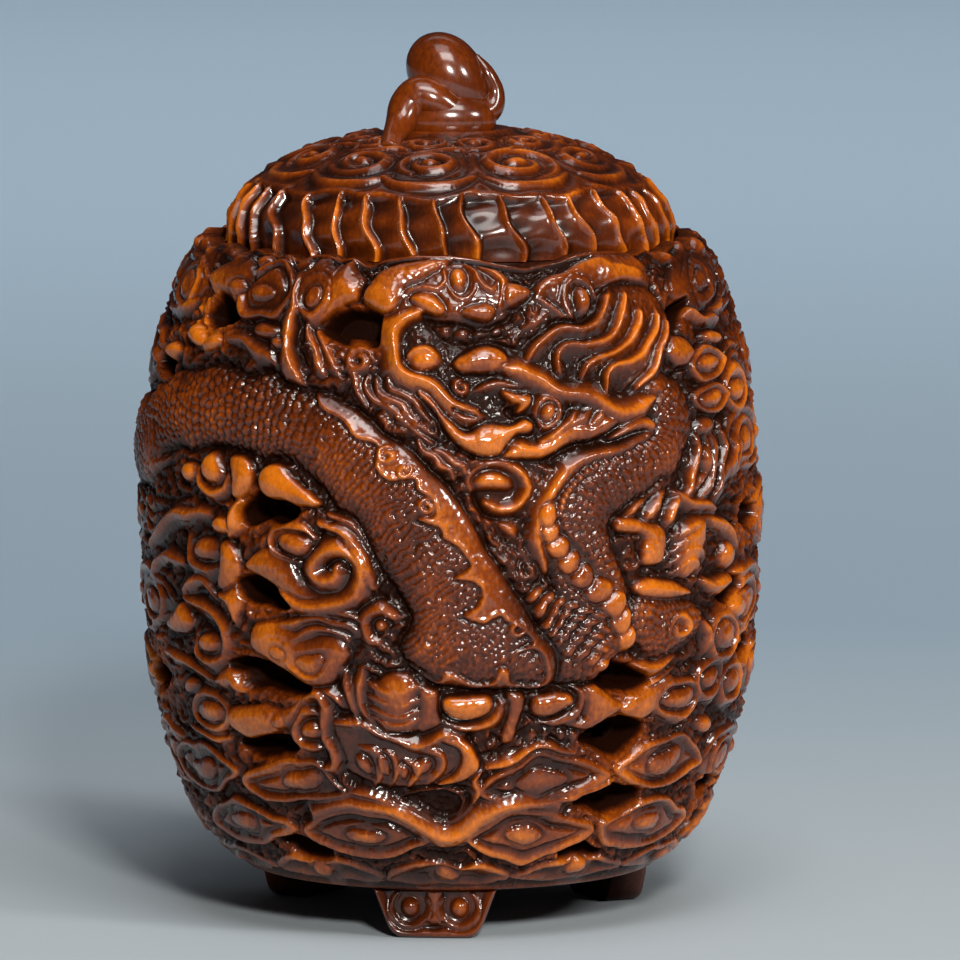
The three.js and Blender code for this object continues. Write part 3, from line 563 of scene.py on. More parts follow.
def left_clouds(wall):
    """The scrolls and lobes to the left of the dragon, as outlined pads, spiral ridges and domes."""
    # great double scroll left of the dragon
    wall.pad([(-19.8, 33.4), (-18.6, 34.6), (-16.8, 35.2), (-14.4, 34.2), (-13.2, 32.4), (-11, 31.4),
              (-9, 32.2), (-8.1, 33.4), (-7.9, 32), (-8.7, 30.8), (-10.6, 30.2), (-13, 30), (-15, 30.5),
              (-16.8, 31.7), (-18.4, 32.5)], 0.0, 0.7, 1.5, 0.5)
    wall.ridge([(-16.4, 31), (-14, 30.4), (-11.6, 30.3), (-9.4, 30.9), (-8.1, 32.4), (-8.2, 34),
                (-9.5, 35.1), (-11.2, 35), (-12.2, 34.1), (-12.2, 33), (-11.3, 32.4), (-10.3, 32.7),
                (-10.1, 33.6)], 1.5, 0.3, 0.5, 0.1)
    wall.crest([(-12.6, 36.2), (-13.6, 37.1), (-15.4, 37), (-16.5, 36.1), (-16.3, 34.9), (-15, 34.3),
                (-13.6, 34.2)], 0.4, 0.5, 0.0)
    wall.boss(-14.2, 35.6, 2.7, 2, 0.15, -10, 0.45)
    wall.ridge([(-12, 37.6), (-10.4, 37.1), (-9, 36), (-8, 34.9), (-7.3, 33.5), (-7, 32)], 1.2, 0.0, 0.4)
    wall.ridge([(-10.8, 38.7), (-9.4, 37.9), (-8, 36.5), (-7, 35), (-6.3, 33.4)], 0.7, -0.25)
    # second cloud, with waves
    wall.pad([(-19.6, 26.9), (-18.8, 28.2), (-16.8, 28.6), (-14, 28.2), (-10.6, 27.8), (-9, 26.6),
              (-9.4, 25), (-10.6, 23.5), (-13, 23), (-15.2, 23.8), (-17.4, 24.9), (-19, 25.6)],
             -0.1, 0.7, 1.4, 0.5)
    for line in ([(-16.4, 28.2), (-14.8, 28.4), (-13.2, 29), (-11.6, 29.3), (-9.8, 28.8), (-8.4, 28)],
                 [(-15.4, 27.3), (-14, 27.6), (-12.6, 28.2), (-11, 28.3), (-9.2, 27.4)],
                 [(-15.4, 29.6), (-13, 30), (-11, 30.1), (-9, 29.5), (-7.8, 28.6)]):
        wall.crest(line, 0.35, 0.6, 0.0, 0.5)
    wall.crest([(-15.2, 26.6), (-15.5, 25.5), (-14.8, 24.6), (-13.2, 24), (-11.6, 24.4), (-10.9, 25.4),
                (-11.6, 26.5)], 0.4, 0.5, 0.05)
    wall.boss(-13, 25.4, 2.6, 1.7, 0.15, 5)
    wall.boss(-16.3, 25.9, 1.6, 1.4, 0.0)
    wall.crest([(-5.2, 29.6), (-6.4, 30.1), (-7.5, 29.6), (-7.8, 28.6), (-7.2, 27.7), (-6, 27.4)],
               0.5, 0.6, 0.0)
    wall.boss(-6.4, 28.8, 0.9, 0.9, -0.1)
    wall.ridge([(-9.6, 24.8), (-9.2, 23), (-8.6, 21.2), (-8.4, 19.8)], 1.1, -0.3)
    wall.crest([(-11.8, 22.8), (-10.6, 22.3), (-9.8, 21.4)], 0.6, 0.6, -0.2)
    # lobes between the dragon and the first hole
    wall.pad([(-18, 41.6), (-17.2, 42.3), (-16, 42), (-14.4, 41), (-12.6, 39.9), (-11.6, 39.3),
              (-13, 38.9), (-15, 39), (-17, 39.2), (-18.1, 40.2)], -0.05, 0.7, 1.2, 0.5)
    wall.pad([(-21.4, 42.6), (-20, 43), (-18.9, 42.2), (-18.9, 40.6), (-19.8, 39.5), (-21.2, 39.4),
              (-21.6, 41)], -0.05, 0.7, 1.2, 0.5)
    wall.ridge([(-25.9, 41.4), (-25.6, 40), (-24, 39.1), (-22.4, 39.8), (-22, 41.2)], 0.9, -0.25)
    wall.boss(-24, 41.5, 3, 2.6, 0.0, 0, 0.5)
    wall.boss(-27.4, 41, 2.2, 1.7, -0.1)
    wall.ridge([(-20.4, 38.8), (-21, 37.6), (-21.2, 36.6), (-21.6, 35.6)], 1.0, 0.0, 0.4)
    wall.boss(-22.6, 36.2, 2.2, 1.4, -0.1, 0, 0.4)
    # far left
    wall.boss(-24.6, 34.1, 3.2, 1.9, 0.0, 5, 0.5)
    wall.pad([(-22.8, 34.6), (-21.4, 35), (-20.4, 34), (-20.6, 32.6), (-21.8, 31.4), (-23, 32)],
             -0.1, 0.6, 1.0)
    wall.ridge([(-22.8, 31), (-21.8, 30.4), (-21.3, 29.4), (-21, 28.2)], 1.1, 0.05, 0.4)
    wall.pad([(-31.8, 26.8), (-30.6, 28.5), (-29, 29.5), (-27.5, 28.7), (-26.9, 27.6), (-28.4, 26.7),
              (-30, 26.1)], -0.05, 0.7, 1.3)
    wall.boss(-24.5, 26, 3.2, 1.8, 0.0, 5, 0.5)
    for line in ([(-36, 33.4), (-33, 35.2), (-30.5, 36.6), (-28, 37.3), (-24.6, 37.2)],
                 [(-36, 30.8), (-33.4, 32.4), (-31, 33.2), (-28.6, 33)],
                 [(-28.4, 30.4), (-26.4, 31.4), (-24.8, 31.4), (-23.4, 30.6)],
                 [(-33, 24.4), (-30, 24.6), (-27, 23.6), (-25, 22.8)],
                 [(-28.4, 29.8), (-26, 29.3), (-24, 28.9), (-22.6, 27.9), (-22, 26.4), (-22.8, 24.8)],
                 [(-27, 35.4), (-26.6, 33.2), (-24.8, 32.4), (-23, 33)],
                 [(-26.6, 26.8), (-26.4, 25), (-24.6, 24.2), (-22.8, 24.8)]):
        wall.crest(line, 0.6, 0.8, -0.15)
    wall.pad([(-23.6, 19.4), (-21.4, 21.3), (-18.6, 21.2), (-16, 20.8), (-14.2, 21.9), (-13.6, 22.6),
              (-14.6, 20.4), (-16, 19.2), (-18.6, 18.2), (-21.6, 17.8)], -0.1, 0.7, 1.4)
    wall.boss(-16.8, 19.8, 1.3, 1.2, 0.0)
    wall.eye(-25.4, 19.8, 3.4, 1.8, -0.15, 0, 0.94, 1, 10, 1.15)
    wall.crest([(-24.4, 22.8), (-22.6, 23.2), (-21.4, 22.8)], 0.5, 0.6, -0.1)
    wall.crest([(-30, 18), (-26.4, 17.2), (-23.4, 17.2)], 0.5, 0.7, -0.2)
    wall.boss(-28.6, 21.8, 2.4, 1.4, -0.15)


def right_clouds(wall):
    """The clouds, flames and limb to the right of the dragon, as outlined pads, crests and domes."""
    # clouds beside the mane
    wall.pad([(22.4, 52.4), (24, 53), (26, 52.6), (27.2, 51.4), (25.6, 50.3), (23.4, 50.5)],
             -0.1, 0.6, 1.2)
    wall.lens([(25.8, 50.2), (27.6, 51.6), (30, 51.9), (33, 50.4), (31, 49), (28.6, 48.6), (26.6, 49)],
              29, 50.3, 3.8, 1.2, -0.15)
    wall.lens([(25.6, 47), (27.2, 48.4), (30, 48.4), (32.6, 47.4), (30.6, 46.2), (28, 45.8)],
              28.6, 47.2, 3, 1.2, -0.2)
    wall.boss(27, 44.8, 3.4, 1.5, -0.1)
    wall.boss(26.9, 42, 1.7, 2.2, 0.0, 10)
    wall.boss(31.2, 52.5, 2.6, 1.1, -0.1)
    wall.eye(34, 56.4, 3.4, 1.6, -0.2, 0, 0.94, 1, 170, 1.1)
    wall.eye(34.6, 47.6, 3, 1.6, -0.2, 0, 0.94, 1, 170, 1.1)
    wall.crest([(27, 55), (29.4, 54.7), (31.6, 54.4), (33.6, 54)], 0.4, 0.7, -0.1)
    # tuft of flames
    for k in range(6):
        s = 25 + 1.7 * k + 0.4 * np.sin(2.2 * k)
        z = 38.2 + 0.25 * k + 0.8 * np.sin(1.7 * k)
        wall.crest([(s - 2.8, z), (s - 1.1, z + 1.5), (s - 0.6 + 0.3 * np.sin(k), 41.2), (s + 0.3, 42.9),
                    (s - 0.2, 44.6 - 0.2 * k + 0.6 * np.sin(2.9 * k))], 0.35, 1.2, -0.1 - 0.15 * (k % 2))
    # smooth lobe and flame tips beside the limb
    wall.pad([(15.2, 38), (16.6, 37.9), (18.4, 37.1), (20.2, 36.7), (20.9, 35.4), (20.6, 33.9),
              (18.6, 33.5), (18, 34.6), (17.8, 35.8), (16.4, 36.2), (15.3, 36.6)], -0.05, 0.6, 1.1)
    for line in ([(16.6, 38.1), (17.6, 38.8), (18.5, 39.7)],
                 [(18.6, 37.3), (19.6, 38.2), (20.5, 39.3)],
                 [(21, 36.7), (21.8, 37.8), (22.7, 39)],
                 [(15.4, 39.5), (17.6, 39.9), (19.6, 40.5), (21.6, 41.3)],
                 [(21.8, 35.5), (23.6, 36.5), (25.8, 37.4)],
                 [(22.8, 39.4), (24, 38.6), (26, 38.4), (28, 37.6)]):
        wall.crest(line, 0.4, 0.8, 0.0)
    # curled paw in bands
    wall.pad([(21.9, 34.8), (22.8, 36.4), (24.6, 37.3), (26.6, 37), (26.7, 35.4), (25.8, 33.6),
              (24.7, 32.2), (23.2, 31.9), (22, 33)], 0.0, 0.8, 1.4, 0.5, 0.22)
    for line in ([(22.4, 35.6), (23.8, 36.3), (25.6, 36.4)], [(22.1, 34.7), (23.8, 35.4), (26, 35.2)],
                 [(22.2, 33.8), (23.8, 34.4), (25.7, 34)], [(22.6, 33), (23.8, 33.4), (25, 33)]):
        wall.crest(line, 0.25, 0.7, 0.15, 0.4)
    # part of the body in scales, under a smooth lobe
    patch = [(17.2, 30.4), (20, 31), (24, 30.2), (26.3, 28.6), (25.8, 26.6), (22.7, 25), (19.2, 25.4),
             (16.9, 27.2)]
    spot, places, d = wall.inside(patch)
    scales = wall.scales(places[..., 1], places[..., 0], 0.75, spot)
    wall.put(spot, -0.3 - 0.8 * rounded(d, 2) + scales, d, 0.45)
    wall.pad([(17, 31.6), (18.8, 32.5), (21, 32.3), (23, 31.6), (24.6, 30.6), (22.6, 30.3), (20, 30.6),
              (18.2, 30.7)], -0.1, 0.6, 1.1)
    wall.scroll(23.2, 27.4, 1.5, 1.2, 200, -1, 0.7, 0.0, 1, 0, 0.3)
    for line in ([(17.6, 22), (19.6, 22.8), (22, 23.7)], [(26.6, 27.6), (27.6, 26.4), (27.2, 25)],
                 [(18, 24.3), (20, 24.4), (22, 24.8)], [(26.4, 37), (28.6, 36.4), (30.6, 35.4), (32, 34)],
                 [(26.6, 31.6), (28.6, 31), (31, 30.9)]):
        wall.crest(line, 0.4, 0.8, -0.1)
    wall.boss(30.2, 33.1, 2.4, 2.2, -0.05, 0, 0.45)
    wall.boss(33.4, 28.6, 3, 1.9, -0.05, 0, 0.45)
    wall.eye(30.5, 26, 3.4, 2.6, -0.1, 0, 1.08, 1, 90, 1.05)
    wall.pad([(16.4, 20.7), (17.6, 22.1), (19.8, 22.7), (22, 23.4), (23.2, 22.6), (21.6, 21.4),
              (20.6, 20), (18.6, 19.5)], -0.1, 0.6, 1.0)
    wall.eye(23.7, 21, 3.8, 1.6, -0.1, 0, 1.0, 1, 90, 1.15)
    wall.eye(28.4, 22.4, 2.8, 1.5, -0.2, 0, 0.94, -1, 90, 1.1)
    wall.boss(28.6, 18.4, 3, 1.6, -0.15)
    wall.eye(33.4, 21.6, 3.2, 1.8, -0.2, 0, 0.94, 1, 90, 1.1)


def rim_clouds(wall):
    """The clouds along the rim, as outlined pads, with crests for borders and domes in their eyes."""
    # cloud in the middle of the front
    wall.pad([(-8.8, 57), (-8.4, 58.8), (-6.8, 60), (-5, 60.6), (-2, 61), (1, 60.8), (3.2, 60.4),
              (4.8, 59.6), (6, 58.6), (7.4, 58.1), (8.6, 57), (7.4, 56.1), (5.4, 55.4), (2.6, 54.8),
              (0, 55), (-2.6, 55.4), (-4.8, 55.5), (-6.6, 55.8)], -0.35, 0.7, 1.3, 0.7, 0.3)
    wall.pad([(-8.7, 57), (-8.3, 58.7), (-6.8, 59.8), (-4.8, 60.4), (-2.4, 60.7), (0.4, 60.4),
              (-0.8, 59.4), (-2.6, 58.6), (-4.2, 57.9), (-5, 56.8), (-6.2, 56)], 0.1, 0.7, 1.3, 0.2)
    wall.pad([(-3.9, 57), (-2.8, 57.6), (-1.6, 57.2), (-0.5, 56.2), (-0.9, 55.5), (-2.2, 55.8),
              (-3.2, 56.3)], 0.1, 0.6, 0.8)
    wall.crest([(-5, 57.1), (-4.2, 57.7), (-2.8, 57.95), (-1.6, 57.6), (-0.8, 58.2), (-0.9, 59.2),
                (-0.2, 59.9)], 0.5, 0.5, 0.0)
    wall.boss(0.9, 58.5, 2, 1.7, 0.25)
    wall.crest([(-0.4, 58.8), (-0.2, 57.8), (0.8, 57.2), (2, 57.3), (2.7, 58.1), (2.6, 59), (1.8, 59.5)],
               0.45, 0.45, -0.05)
    wall.crest([(1.8, 59.7), (2.8, 59.2), (3.2, 58.4), (3.7, 57.8), (4.4, 57.6), (4.9, 58.3)],
               0.5, 0.5, 0.15)
    wall.crest([(3.2, 59.9), (4.6, 59.4), (5.4, 58.4), (5.5, 57.2), (5, 56.1)], 0.7, 0.5, 0.05)
    wall.pad([(1, 55.8), (1.8, 56.5), (3.4, 56.5), (4.3, 56), (3.6, 55.3), (2, 55.3)], 0.15, 0.6, 0.8)
    wall.pad([(5.6, 57.8), (6.6, 58.2), (8.2, 57.2), (7.2, 56.3), (5.9, 56.2)], 0.05, 0.5, 1.0, 0)
    # folds under it
    for s, z, wide, tall in ((-0.5, 54.2, 1.3, 1.3), (1, 54, 1.6, 0.9), (2.7, 54.1, 1.7, 0.9),
                             (4.3, 54.4, 1.3, 1.1), (6.3, 54.2, 2.4, 1.3)):
        wall.boss(s, z, wide, tall, -0.8, 8, 0.2)
    wall.crest([(7, 54.6), (8.4, 55.2), (9.8, 55.7), (10.4, 55.2)], 0.6, 0.8, -0.35)
    # cloud to its right
    wall.pad([(8.8, 57.2), (9.8, 58.5), (12, 59.1), (13.6, 60), (15, 60.9), (18, 61.4), (22, 60.8),
              (23.4, 59), (20, 58.2), (17, 58.2), (15.6, 57.6), (14.6, 55.4), (12, 54.8), (10.6, 55.6)],
             -0.3, 0.7, 1.4, 0.7, 0.3)
    wall.crest([(9, 57.3), (10.2, 58.3), (12, 58.7), (13.8, 59.4), (16, 59.9), (19, 59.6), (21.4, 59.2)],
               0.5, 1.6, 0.1)
    wall.crest([(12, 57.6), (12.6, 58.1), (13.8, 58.2), (15, 57.9)], 0.4, 0.5, -0.1)
    wall.scroll(13.6, 56.5, 2, 0.8, 300, -1, 0.8, -0.1, 1, 0, 0.95)
    wall.boss(13.6, 56.5, 1.8, 2.1, 0.2, -20, 0.5, 0.25)
    wall.crest([(8.6, 56.6), (9.6, 56.3), (10.6, 55.7), (11.4, 54.9), (12, 54.6)], 0.4, 0.6, -0.1)
    # clouds to its left
    wall.pad([(-17.2, 58.6), (-16, 60.4), (-14, 60.9), (-12.6, 60.2), (-11, 60.8), (-9.8, 59.6),
              (-9.2, 58.2), (-9.4, 56.9), (-11, 56.3), (-12.4, 55.2), (-14.4, 55), (-16, 56)],
             -0.1, 0.8, 1.5, 0.7, 0.3)
    wall.crest([(-12.2, 60), (-12.8, 58.8), (-12.4, 57.6), (-11.4, 56.8)], 0.5, 0.7, 0.0)
    for s in (-22.4, -19.4, -16.8):
        wall.boss(s, 60.2, 3.2, 1.7, -0.1, 5, 0.5)
    wall.scroll(-14.2, 57, 1.9, 1.0, 30, 1, 0.8, -0.1, 0.95, 0, 0.9)
    wall.boss(-14.2, 56.9, 1.9, 1.8, 0.1, 0, 0.5, 0.25)
    wall.crest([(-16.3, 58.6), (-16.5, 57.4), (-16.1, 56), (-16.3, 54.4), (-15.9, 52.9), (-15.2, 51.5),
                (-14.2, 50.3)], 0.35, 1.3, 0.25, 0.7, 0.15)
    wall.crest([(-14.4, 54.8), (-13.6, 53.2), (-12.8, 51.8), (-11.8, 50.4)], 0.4, 0.7, -0.2)
    wall.crest([(-12.8, 54.2), (-12.2, 52.8), (-11.2, 51.4), (-10.4, 50)], 0.4, 0.6, -0.3)
    wall.lens([(-24, 56.6), (-23, 58.8), (-20.4, 60.4), (-17.6, 59.2), (-17, 57), (-18.4, 55.2),
               (-20.8, 54.6), (-23, 55)], -20.6, 56.8, 2.6, 1.2, -0.1)
    wall.boss(-19.2, 53.8, 2.6, 1.4, -0.1, 10)
    wall.boss(-17.7, 52.8, 1.6, 1.1, -0.05)
    wall.ridge([(-24, 52.6), (-21.6, 52.6), (-19.4, 51.8), (-17.4, 50.8)], 1.4, -0.25)
    wall.pad([(-31, 57.4), (-28.4, 59.6), (-25, 60.6), (-22.8, 58.8), (-23.4, 56.6), (-26.4, 56.4),
              (-29, 56.2)], -0.3, 0.7, 1.4)
    wall.boss(-24.8, 57.1, 2.6, 1.5, 0.0)
    for s, z in ((-26.4, 52.4), (-29.6, 52.7), (-34, 51)):
        wall.boss(s, z, 3, 1.4, -0.1)
    # clouds of the shoulder beyond the mane
    s, z = 32.4, 57.2
    wall.pad([(s - 6.6, z - 0.4), (s - 4, z + 2.6), (s, z + 4.2), (s + 4.4, z + 2.6), (s + 6.8, z - 0.4),
              (s + 3, z - 1.9), (s - 2.6, z - 2.1)], -0.6)
    wall.eye(s, z, 3, 1.5, -0.3, 0, 0.94, 1, 190, 1.2)


def rim_lobes(wall):
    """Lobes of uneven width along the rim, each half an oval, for the tops of the clouds there."""
    widths = np.random.default_rng(12).uniform(*LOBE_WIDTHS, RIM_LOBES)
    ends = np.cumsum(widths) * AROUND / widths.sum() - AROUND / 2
    k = np.searchsorted(ends, COL_S)
    wide = (widths * AROUND / widths.sum())[k]
    u = 2 * (ends[k] - COL_S) / wide - 1
    lobe = -0.1 - 0.85 * (1 - np.sqrt(1 - 0.98 * u * u)) - 0.12 * np.cos(9 * u)
    lift = np.clip((ROW_Z - 59.3 + 0.4 * np.sin(COL_S[:, None] * 0.9)) / 0.9, 0, 1).T
    lift *= np.clip((np.abs(COL_S + 0.5) - 21) / 4, 0, 1)
    wall.height[:] = wall.height * (1 - lift) + lobe * lift
    wall.polish[:] = np.maximum(wall.polish, lift)


def holes(wall):
    """The openings: outlines in front, and one in every other gap of the rows behind."""
    for outline in (
        [(-12.2, 54.4), (-10.4, 55.9), (-7.4, 56), (-6.2, 54.6), (-7.4, 53), (-10.4, 52.9)],
        [(-29.4, 54.6), (-27.4, 56.1), (-25, 55.8), (-23.6, 55), (-25, 54.2), (-27.6, 53.8)],
        [(-20.3, 38.2), (-18.6, 39.6), (-17, 39.2), (-15.4, 39.3), (-14.4, 38.5), (-15.6, 37.3),
         (-17.6, 37.4), (-19.6, 36.9)],
        [(-21.1, 31.5), (-19.6, 32.4), (-18, 32.1), (-16.8, 31.3), (-15.3, 30.1), (-16.4, 29.6),
         (-18, 29.9), (-20, 30)],
        [(-22.4, 24), (-20, 24.7), (-17.6, 24.5), (-15.6, 23.6), (-13.4, 22.8), (-13.4, 22.2),
         (-15, 21.9), (-17.4, 22.2), (-20, 22.9)],
        [(-22, 16.7), (-19.4, 17.8), (-16.4, 18.2), (-15.3, 17.4), (-17, 16.6), (-20, 16.1)],
        [(-20.6, 8), (-18, 8.6), (-15.6, 8.2), (-14.2, 7.2), (-16.4, 6.7), (-19, 7)],
        [(13.8, 24), (15, 24.9), (16.6, 24.8), (18.2, 24), (19.5, 23.2), (18, 22.3), (16, 22.6),
         (14.6, 23.2)],
        [(12.7, 18.2), (14, 19.1), (15.6, 19.8), (17.6, 19.8), (19.4, 19), (20.1, 18), (18.6, 16.7),
         (17.2, 16.1), (15.4, 16.9), (14, 17.4)],
        [(13.4, 12.5), (15, 13.3), (17.6, 13.5), (20.4, 12.9), (21.2, 12.1), (20, 11.1), (18, 10.5),
         (16.6, 10.7), (15, 11.4)],
        [(12.6, 7.4), (14.4, 8), (16.4, 7.8), (18.4, 6.9), (16.6, 6.6), (14, 6.7)],
        [(22.6, 53.9), (24.6, 54.8), (27, 55.7), (28.6, 56), (27.2, 54.7), (25, 53.6)],
        [(32, 12), (34.4, 13), (37, 12.2), (34.6, 11.2)],
        [(29.6, 30), (32, 30.9), (34, 30.2), (31.6, 29.2)],
        [(35, 24), (37.4, 25.2), (40, 24.2), (37.4, 23)],
    ):
        wall.hole(outline)
    # sides and back
    for *_, z, gap, pierced in row_places():
        if behind(gap) and pierced:
            wall.hole([(gap - 2.8, z), (gap - 0.8, z + 1.5), (gap + 1.8, z + 0.9), (gap + 2.8, z - 0.2),
                       (gap + 0.2, z - 1.4)])


def dragon(wall):
    """The dragon's limb, body and tail: bands of scales along paths, and the outlined body in front."""
    # limb that rises to the neck
    wall.band([(9, 26.4, 3), (12.6, 27.2, 3.6), (13.4, 30.4, 3.4), (12.2, 34, 3.3), (11.6, 37.2, 3.4),
               (13.4, 40.4, 3.2), (17.4, 42.2, 2.9), (21, 44, 3), (22.4, 46.6, 2.9), (20.8, 48.6, 1.9)],
              -0.1, 1.1, 0.9, 0.72)
    limb_details(wall)
    panel(wall)
    # hind part and tail round the back
    wall.band([(72, 19.6, 0.9), (76, 21.4, 1.6), (86, 27, 2.2), (95.3, 32.4, 2.7), (106, 37.6, 3.1),
               (117.3, 41.4, 3.5), (127, 42.4, 3.8), (135.9, 42.5, 3.9), (139, 42.6, 3.9)],
              0.1, 1.2, 0.98, 0.75, over=False)


def limb_details(wall):
    """The limb's edge, belly plates and feather scales, as rows of domes and lapped ovals."""
    # smooth ridge and toothed line along its inner edge
    wall.ridge([(8.4, 33.6), (8.1, 36), (8.1, 38.4), (8.8, 40.4), (10.2, 41.8), (12.4, 42.9),
                (15.4, 43.6), (18, 44.5), (20, 45.6)], 1.2, 0.0, 0.5, 0.25)
    tooth = curve([(9.6, 38.6), (10.2, 40), (11.4, 41.2), (13.2, 42.1), (16.4, 43), (19.4, 44.2)])
    for s, z in tooth[::3]:
        wall.boss(s, z, 0.6, 0.6, 0.0, 0, 0.25, 0.12)
    # belly plates, each lapped over the one below it
    wall.pad([(8, 39.5), (8.3, 37), (8.8, 35.4), (9.8, 33.7), (11.2, 32.1), (12.6, 30.8), (14, 29.4),
              (15.1, 27.9), (15.8, 26.2), (17, 26.6), (17.2, 28.4), (16.6, 30), (15.8, 31.4),
              (14.5, 32.7), (13.1, 33.9), (11.6, 35.1), (10.5, 36.2), (9.6, 37.4), (9.3, 39.5)],
             -0.35, 0.1, 0.5)
    round_way = np.radians(np.arange(0, 360, 45))
    for s, z, half, turn in ((16.4, 27.3, 1.1, 56), (15.85, 28.85, 1.2, 52), (14.9, 30.3, 1.25, 45),
                             (13.55, 31.65, 1.25, 42), (12.15, 32.9, 1.2, 40), (10.7, 34.25, 1.05, 31),
                             (9.65, 35.65, 0.95, 16), (8.95, 37.05, 0.75, 4), (8.7, 38.5, 0.7, 0)):
        x, y = spin(half * np.cos(round_way), 1.05 * np.sin(round_way), turn)
        wall.pad(np.stack([s + x, z + y], 1), 0.05, 0.35, 0.7, 0.6, 0.2)
    # longer feather scales below them
    for row in range(5):
        for k in range(6):
            s = 7.6 + 1.2 * k + 0.5 * row
            z = 31.4 - 1.15 * row - 0.45 * k
            if z > 24.6 and s < 14.6:
                wall.boss(s, z, 1.5, 0.75, -0.05, 40 - 8 * k, 0.4, 0.15)


# Outline of the dragon's body where it crosses the front
PANEL = [(-40, 46), (-36, 47.8), (-33, 48.8), (-30, 49.6), (-27, 50.1), (-24, 50.3), (-20, 50.2),
         (-17, 49.8), (-14.5, 49.3), (-12, 48.9), (-10, 48.2), (-8, 47), (-6, 45.8), (-4, 44.2),
         (-2, 42.5), (0, 40.5), (1.4, 38.4), (3, 36), (4.5, 33.7), (6, 31.5), (8, 28.5), (9.6, 26.4),
         (10, 25), (9.2, 23.6), (6, 23), (2, 23.3), (-1, 24), (-3.4, 24.9), (-4.2, 26), (-4.4, 27.6),
         (-3.6, 29.2), (-4, 30.5), (-5, 32), (-6, 33.5), (-7, 35), (-8, 36.7), (-9.5, 38.5), (-11, 40),
         (-13, 41.3), (-15, 42.2), (-17, 42.8), (-20, 43.3), (-24, 43.4), (-27, 43.2), (-30, 42.8),
         (-33, 42), (-36, 41), (-40, 39.2)]
# Smooth strip down its right-hand and lower edge, with bites and fingers on its inner side
STRIP = [(-12.2, 47.9), (-9.9, 46.7), (-8.5, 45.2), (-6.7, 44.8), (-6.1, 44.2), (-6.4, 42.6),
         (-5.6, 41.5), (-4.1, 41.4), (-3, 41.4), (-2.7, 40.5), (-1.7, 39.7), (-1.5, 38.6), (-2.6, 38.1),
         (-1, 37.6), (-0.5, 36.8), (0.3, 36.1), (0.9, 35.2), (1.5, 34.3), (1.2, 33.7), (0.2, 33.1),
         (2.1, 32.6), (2.9, 31.8), (2.5, 30.7), (1, 29.7), (2.9, 29.3), (4.4, 29.9), (5.1, 29.3),
         (6.8, 28.2), (7.3, 27.1), (5.5, 26.4), (7.2, 26.7), (8.4, 25.5), (8.4, 24.2), (6.9, 23.5),
         (5.4, 23.7), (5.1, 24.9), (4.4, 25.1), (3.8, 24), (2.2, 23.9), (0.8, 24.4), (-0.3, 25.1),
         (-0.9, 24.3), (-2.5, 24.7), (-4.4, 25.2), (-5, 22), (5, 21), (11.5, 22), (12.5, 25.5), (8.5, 31),
         (4.5, 37), (0.5, 42.5), (-4, 46.5), (-9, 50), (-12.4, 50)]
# Its middle line, which the rows of scales follow
SPINE = [(-44, 40.6), (-40, 42.6), (-36, 44.4), (-30, 46.2), (-24, 46.9), (-18, 46.6), (-13.2, 45.5),
         (-9.2, 43.4), (-6, 40.7), (-3.5, 37.7), (-1.5, 34.7), (0.5, 31.7), (2.4, 28.4), (4.6, 25.4),
         (7, 22)]


def panel(wall):
    """The dragon's body across the front: a rounded form in scales, with a smooth strip at its right."""
    spot, places, d = wall.inside(PANEL, 2.5)
    wall.moat(spot, -d, 0.7, 0.4)
    along, across, _ = wall.frame_of(curve(SPINE), places)
    share = np.clip((places[..., 0] + 16) / 6, 0, 1)
    large = wall.scales(along, across, 0.86, spot)
    small = wall.scales(along, across, 0.6, spot, 0.45)
    skin = (1 - share) * large + share * small
    inlay = signed(curve(STRIP, True), places)
    plain = np.clip(inlay / 0.2 + 0.5, 0, 1)
    body = 0.1 - 1.2 * rounded(d, 3.4) + (1 - plain) * (1.3 * skin - 0.22)
    body += 0.14 * np.exp(-((inlay - 0.25) / 0.22) ** 2) - 0.12 * np.exp(-((inlay + 0.2) / 0.15) ** 2)
    wall.put(spot, body, d, 0.45 + 0.55 * plain)
    # curls on the strip
    for s, z, size, way in ((-5.4, 43.6, 0.85, 1), (-4.1, 42.2, 0.7, -1), (-2, 39.2, 0.6, 1),
                            (5.9, 28.7, 0.8, -1)):
        wall.scroll(s, z, size, 1.3, 60, way, 0.36, 0.16, 1, 0, 0.2)
    # banded paw below
    wall.pad([(-6.7, 23.8), (-5.6, 24.7), (-4, 24.5), (-3, 23.6), (-3.1, 22), (-3.8, 20.6), (-5, 20),
              (-6.2, 20.8), (-6.9, 22.4)], 0.0, 0.8, 1.4, 0.5, 0.22)
    for z in (23.5, 22.5, 21.5, 20.8):
        wall.crest([(-6.7, z), (-5.6, z - 0.45), (-4.4, z - 0.45), (-3.2, z)], 0.25, 0.6, 0.1, 0.4)
    wall.crest([(-7.8, 24.6), (-8, 22.8), (-7.6, 21), (-6.8, 19.8)], 0.5, 0.7, -0.2)


